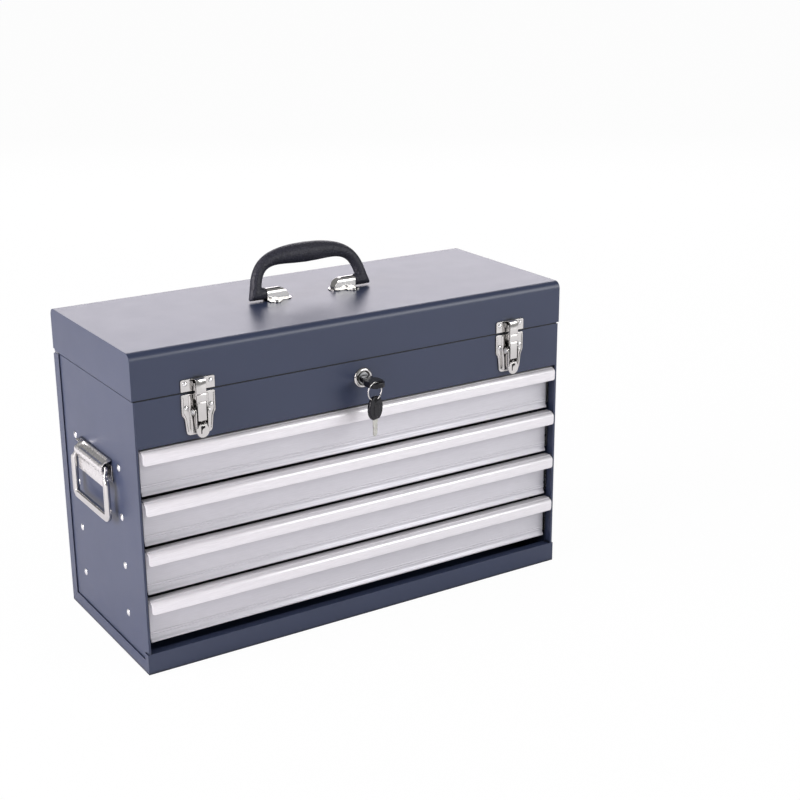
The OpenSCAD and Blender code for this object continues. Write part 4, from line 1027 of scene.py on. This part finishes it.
def press_plates():
    top = plate_high[2] / MM
    low = plate_low[2] / MM
    pivot_z = latch_pivot_z / MM
    half = [(16.6, top), (17.6, top - 0.4), (plate_half, top - 1.4), (plate_half, top - 19.6)]
    half += [(17.4, top - 21.4)]
    half += [(15.9, top - 23.6), (15.3, top - 25.6), (13.9, low + 3.2), (12.6, low + 1.1), (10.4, low)]
    ear = [(0.1, pivot_z - 4.6)] + arc(ear_out, pivot_z, ear_r, -90, 90, 8) + [(0.1, pivot_z + 4.6)]
    plates = []
    for side in (-1, 1):
        x = side * latch_x
        holes = [shifted(circle(s * screw_x, top - screw_down, screw_r, 20), x) for s in (-1, 1)]
        plate = stamped("latch_sheet", [shifted(mirrored(half), x)] + holes, 0, plate_t, press_edge)
        plates.append(on_front(plate, 0))
        for s in (-1, 1):
            rim = [(s * 16.8, top - 2.4), (s * 16.8, top - 19), (s * 14.4, top - 24.6), (s * 12.8, low + 3.6)]
            plates.append(ridge("latch_rim", rim, width=0.9, height=1.0, x=x, u=1.1 * MM))
            rib = [(s * 9.2, top - 1.6), (s * 9.0, top - 18), (s * 7.4, top - 29), (s * 7.6, low + 2.2)]
            plates.append(ridge("latch_groove", rib, width=1.5, height=1.5, x=x, u=0.9 * MM))
            plates.append(side_sheet("latch_ear", ear, x + s * ear_x * MM, 1.0 * MM))
    return join("latch_pressings", plates)


plates = finish_piece(press_plates(), nickel, "bright_nickel", "cabinet", "latch_plates")
print(plates.name, "reach from", round(plate_low[2] / MM, 1), "to", round(plate_high[2] / MM, 1))

# %% [markdown]
# ### Claws
# The claw is a channel: a strap in front, folded over at the top and crimped twice below, with a flange
# on each side of it and a wall that reaches down to the lever. The strap is a folded strip, and the
# flanges and walls are flat sheets that stand on edge behind it. One blank bent at every corner would look
# the same and be harder to read.

# %% Fold the claws
claw_sheet = 0.9 * MM


def fold_claw(side):
    x = side * latch_x
    top = claw_high[2] / MM
    pin_z = latch_pivot_z / MM - 7.5
    wide, narrow = 5.2, 4.4
    out = (-claw_low[1] + FASCIA_Y) / MM
    back = (-claw_high[1] + FASCIA_Y) / MM
    # each point of the strap is (out, height above the floor, half width), from the fold on top downwards
    strap = [(back + 0.1, top - 0.6, wide), (back + 0.8, top - 0.1, wide), (out - 1.6, top, wide)]
    strap += [(out - 0.5, top - 0.4, wide), (out, top - 1.5, wide), (out, 288.6, wide)]
    strap += [(out - 0.5, 287.9, wide), (out - 0.5, 287.2, wide), (out, 286.5, wide), (out, 280.4, wide)]
    strap += [(out - 0.6, 279.6, wide), (out - 0.6, 278.8, narrow), (out, 278.0, narrow)]
    strap += [(out, pin_z - 1.6, narrow)]
    front = strip("claw_strap", [(u * MM, z * MM) for u, z, w in strap], [w * MM for u, z, w in strap])
    rounded(thicken(front, claw_sheet), press_edge)
    front.data.transform(Matrix.Translation((x, FASCIA_Y, 0)))
    parts = [front]
    flange = [(out - 0.4, 298.6), (out - 0.4, 282.2), (2.6, 282.2), (2.2, 283), (2.2, 293.8), (3.9, 294.4)]
    flange += [(3.9, 298.0), (4.6, 298.6)]
    wall = [(out - 0.6, 283), (out - 0.6, pin_z - 1.4), (out - 3.2, pin_z - 2.4), (out - 5.2, pin_z - 1)]
    wall += [(out - 5.2, pin_z + 2), (out - 3.0, pin_z + 5.5), (out - 2.4, 283)]
    for s in (-1, 1):
        parts.append(side_sheet("claw_flange", flange, x + s * (wide + 0.25) * MM, claw_sheet))
        parts.append(side_sheet("claw_wall", wall, x + s * (narrow - 0.45) * MM, claw_sheet))
    claw = join(handed("claw_folded", side), parts)
    return finish_piece(claw, nickel, "bright_nickel", handed("claw", side), handed("latch_claw", side))


print("claws reach up to", round(claw_high[2] / MM, 1))

# %% [markdown]
# ### Levers
# The lever ends in a wide tongue. A hook is pressed out of it, and the opening that it leaves can take a
# padlock. A near-black sheet lies behind that opening as painted shade, so that the opening looks dark. The hook's
# outline is simply the second loop of the stamping, and the two arms stand on edge beside the claw.

# %% Stamp the levers
blade_t = 1.2
shade_sheet_t = 0.6
shade_sheet_back = 2.2
arm_x = 6.4


def stamp_lever(side):
    x = side * latch_x
    foot = lever_low[2] / MM
    out = (-lever_low[1] + FASCIA_Y) / MM
    pivot_z = latch_pivot_z / MM
    top = pivot_z - 13
    half = [(4.6, top), (4.6, top - 1.5), (6.0, foot + 9.5), (6.5, foot + 7.4)]
    half += arc(0, foot + 6.4, 6.4, 8, -84, 9)
    hook = [(-2.6, foot + 8.6), (-2.6, foot + 11.4), (-1.6, foot + 12.4), (1.4, foot + 12.4)]
    hook += [(2.4, foot + 11.4), (2.4, foot + 9.6), (0.2, foot + 8.8), (-0.8, foot + 7.6), (-1.0, foot + 4.2)]
    hook += [(-1.8, foot + 3.6), (-2.6, foot + 4.4)]
    blade = stamped("lever_blade", [shifted(mirrored(half), x), shifted(hook, x)], 0, blade_t * MM, 0.3 * MM)
    on_front(blade, (out - blade_t) * MM)
    # painted shade: a near-black sheet behind the hook's opening makes it look dark
    shade_sheet_outline = mirrored([(3.6, foot + 13.2), (3.6, foot + 2.6)])
    shade_sheet = stamped("lever_shade_sheet", [shifted(shade_sheet_outline, x)], 0, shade_sheet_t * MM, 0.1 * MM)
    on_front(shade_sheet, (out - shade_sheet_back) * MM)
    finish_piece(shade_sheet, shade_sheet_steel, "zinc_steel", handed("lever", side))
    arm = [(out - 0.3, top + 0.4), (out - 0.3, top - 8), (out - 2.0, top - 8.5), (2.6, top - 1.0)]
    arm += [(2.4, pivot_z - 7)] + arc(5.5, pivot_z, 4, 180, 40, 6) + [(out - 0.3, pivot_z - 1.0)]
    arms = [side_sheet("lever_arm", arm, x + s * arm_x * MM, 1.0 * MM) for s in (-1, 1)]
    lever = join(handed("lever_stamped", side), [blade] + arms)
    return finish_piece(lever, nickel, "bright_nickel", handed("lever", side), handed("latch_lever", side))


for side in (-1, 1):
    fold_claw(side)
    stamp_lever(side)
print("levers reach down to", round(lever_low[2] / MM, 1))

# %% [markdown]
# ## Lock
# The lock's body is turned on a lathe: a flange with a raised, rounded rim, a shallow dish inside it, and a
# barrel that goes through the sheet. So it is made as a lathe makes it, by turning one profile round the
# axis. The Screw modifier could turn it too, but its rings of points are skinned by the helper that the
# bars have already, and the profile's corners stay where the list says.

# %% Turn the lock's body
lathe_steps = 64


def lathe(name, profile, x, z):
    """A turned part round an axis that points out of the front; profile lists (radius, out), closed."""
    bm = bmesh.new()
    turns = [2 * math.pi * k / lathe_steps for k in range(lathe_steps)]
    rings = []
    for radius, u in profile:
        round_it = [(x + radius * MM * math.cos(a), z + radius * MM * math.sin(a)) for a in turns]
        rings.append([bm.verts.new((px, FASCIA_Y - u * MM, pz)) for px, pz in round_it])
    skin(bm, rings, closed=True)
    return smooth(piece_from(name, bm), 32)


def turn_lock_body():
    low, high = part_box("lock_body")
    middle_z = (low[2] + high[2]) / 2
    rim = (high[0] - low[0]) / 2 / MM
    barrel = -18
    profile = [(8, barrel), (8, -0.02), (rim, -0.02), (rim, 0.7), (rim - 0.4, 1.3), (rim - 1.1, 1.9)]
    profile += [(rim - 1.9, 2.15), (rim - 2.6, 2.0), (rim - 3.2, 1.3), (rim - 3.5, 0.5), (6.9, 0.2), (6.5, 0.6)]
    profile += [(6.25, 0.9), (6.1, 0.9), (6.1, barrel)]
    body = lathe("lock_turned_body", profile, 0, middle_z)
    return finish_piece(body, nickel, "bright_nickel", "cabinet", "lock_body")


lock_body = turn_lock_body()
print(lock_body.name, "is", round(lock_body.dimensions.x / MM, 1), "mm wide")

# %% [markdown]
# ## Keys
# The key in the lock has a round-nosed plastic bow with a slot across it. It is a thick stamping with a wide
# bevel, which gives the soft, cushioned edge of a moulding.

# %% Key in the lock
bow_low, bow_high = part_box("key_bow")
lock_z = (bow_low[2] + bow_high[2]) / 2
bow_half = 2.9 * MM
soft_edge = 0.9 * MM


def mould_bow():
    """The bow of the key in the lock: a thick pad with soft edges and a slot for the ring."""
    far = (FASCIA_Y - bow_low[1]) / MM
    half = [(-5.6, 3.2), (-6.2, 4.4), (-6.4, 12), (-8.6, 15), (-9.4, 18.5), (-9.4, far - 10)]
    half += [(-8.4, far - 5.4), (-6.2, far - 2.2), (-3.4, far - 0.6)]
    slot = [(-4.9, 28.2), (-3.9, 27.3), (3.9, 27.3), (4.9, 28.2), (4.9, 30.8), (3.9, 31.7), (-3.9, 31.7)]
    slot += [(-4.9, 30.8)]
    flat = Matrix.Translation((0, FASCIA_Y, lock_z)) @ Matrix.Rotation(math.pi, 4, "Z")
    loops = [shifted(mirrored(half), 0), shifted(slot, 0)]
    bow = stamped("key_bow_moulding", loops, -bow_half, bow_half, soft_edge, flat)
    return finish_piece(bow, bow_plastic, "black_plastic", "lock_core", "key_bow")


bow = mould_bow()
print(bow.name, "stands out", round((FASCIA_Y - bow_low[1]) / MM, 1), "mm")

# %% [markdown]
# ### Ring
# A steel ring goes through the bow's slot and hangs from its rail. It is a wire bent round a circle, so each
# of its rings of points is turned out along the arm from the middle.

# %% Key ring
ring_low, ring_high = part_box("key_ring")
ring_wire = 0.7 * MM
ring_r = 9.3 * MM
ring_turn = math.radians(12)
ring_aside = Vector((3.0 * MM, 0, 0))
ring_middle = (Vector(ring_low) + Vector(ring_high)) / 2 + ring_aside
ring_middle.z = lock_z - 6.3 * MM  # so that the wire lies on the slot's rail


def hoop(name, middle, radius, wire, turn):
    """A closed ring of wire; turn is the angle of its plane about the vertical."""
    steps, sides = 56, 12
    bm = bmesh.new()
    along = Vector((math.cos(turn), math.sin(turn), 0))
    out = Vector((-math.sin(turn), math.cos(turn), 0))
    rings = []
    for i in range(steps):
        a = 2 * math.pi * i / steps
        arm = along * math.cos(a) + Vector((0, 0, math.sin(a)))
        loop = []
        for k in range(sides):
            b = 2 * math.pi * k / sides
            loop.append(bm.verts.new(middle + arm * (radius + wire * math.cos(b)) + out * (wire * math.sin(b))))
        rings.append(loop)
    skin(bm, rings, closed=True)
    return smooth(piece_from(name, bm), 60)


ring = hoop("split_ring", ring_middle, ring_r, ring_wire, ring_turn)
finish_piece(ring, nickel, "bright_nickel", "loose_ring", "key_ring")
print("ring is", round(2 * (ring_r + ring_wire) / MM, 1), "mm wide")

# %% [markdown]
# ### Spare key
# The spare key hangs on the ring, turned a little out of the ring's plane. Its bow is a plate with a thicker
# pad in the middle, and its blade is cut with notches. Both are stampings that are stood upright.


# %% Hang the spare key
spare_turn = math.radians(18)
spare_bow_t, spare_pad_t, spare_blade_t = 4.2 * MM, 5.2 * MM, 2.0 * MM
spare_shift = Vector((1.0 * MM, 1.5 * MM, 1.6 * MM))  # from the ring's lowest point


def stand(name, loops, thickness, edge, place, turn):
    """A stamped plate that stands upright at a place, with its face turned about the vertical."""
    upright = Matrix.Translation(place) @ Matrix.Rotation(turn, 4, "Z") @ FRONT
    return stamped(name, loops, -thickness / 2, thickness / 2, edge, upright)


def hang_spare_key():
    place = ring_middle - Vector((0, 0, ring_r)) + spare_shift
    half = [(2.8, 1.9), (5.2, 0.8), (8.2, -2.6), (9.9, -7.2), (10.2, -11.6), (9.2, -16.8), (6.8, -20.8)]
    half += [(4.6, -22.6)]
    slot = [(3.2, -0.2), (3.2, -2.4), (2.2, -3.4)]
    loops = [shifted(mirrored(half), 0), shifted(mirrored(slot), 0)]
    bow = stand("spare_bow", loops, spare_bow_t, soft_edge, place, spare_turn)
    dish = [(2.6, -6.4), (4.2, -8.6), (4.4, -14.6), (3.6, -18.2), (2.2, -19.8)]
    pad = stand("spare_bow_pad", [shifted(mirrored(dish), 0)], spare_pad_t, 0.5 * MM, place, spare_turn)
    finish_piece(join("spare_key_bow", [bow, pad]), bow_plastic, "black_plastic", "loose_ring")
    blade = [(-3.2, -22.6), (3.2, -22.6), (3.2, -26), (2.3, -26.9), (2.3, -28.2), (3.1, -29.2), (2.0, -30.6)]
    blade += [(2.9, -32), (1.7, -33.6), (2.7, -35), (1.9, -36.4), (2.5, -37.8), (0.6, -40.6), (-1.6, -41.2)]
    blade += [(-3.0, -39.6)]
    steel = stand("spare_key_blade", [shifted(blade, 0)], spare_blade_t, press_edge, place, spare_turn)
    finish_piece(steel, blade_steel, "zinc_steel", "loose_ring")
    return place


place = hang_spare_key()
print("spare key hangs from", [round(c / MM, 1) for c in place])
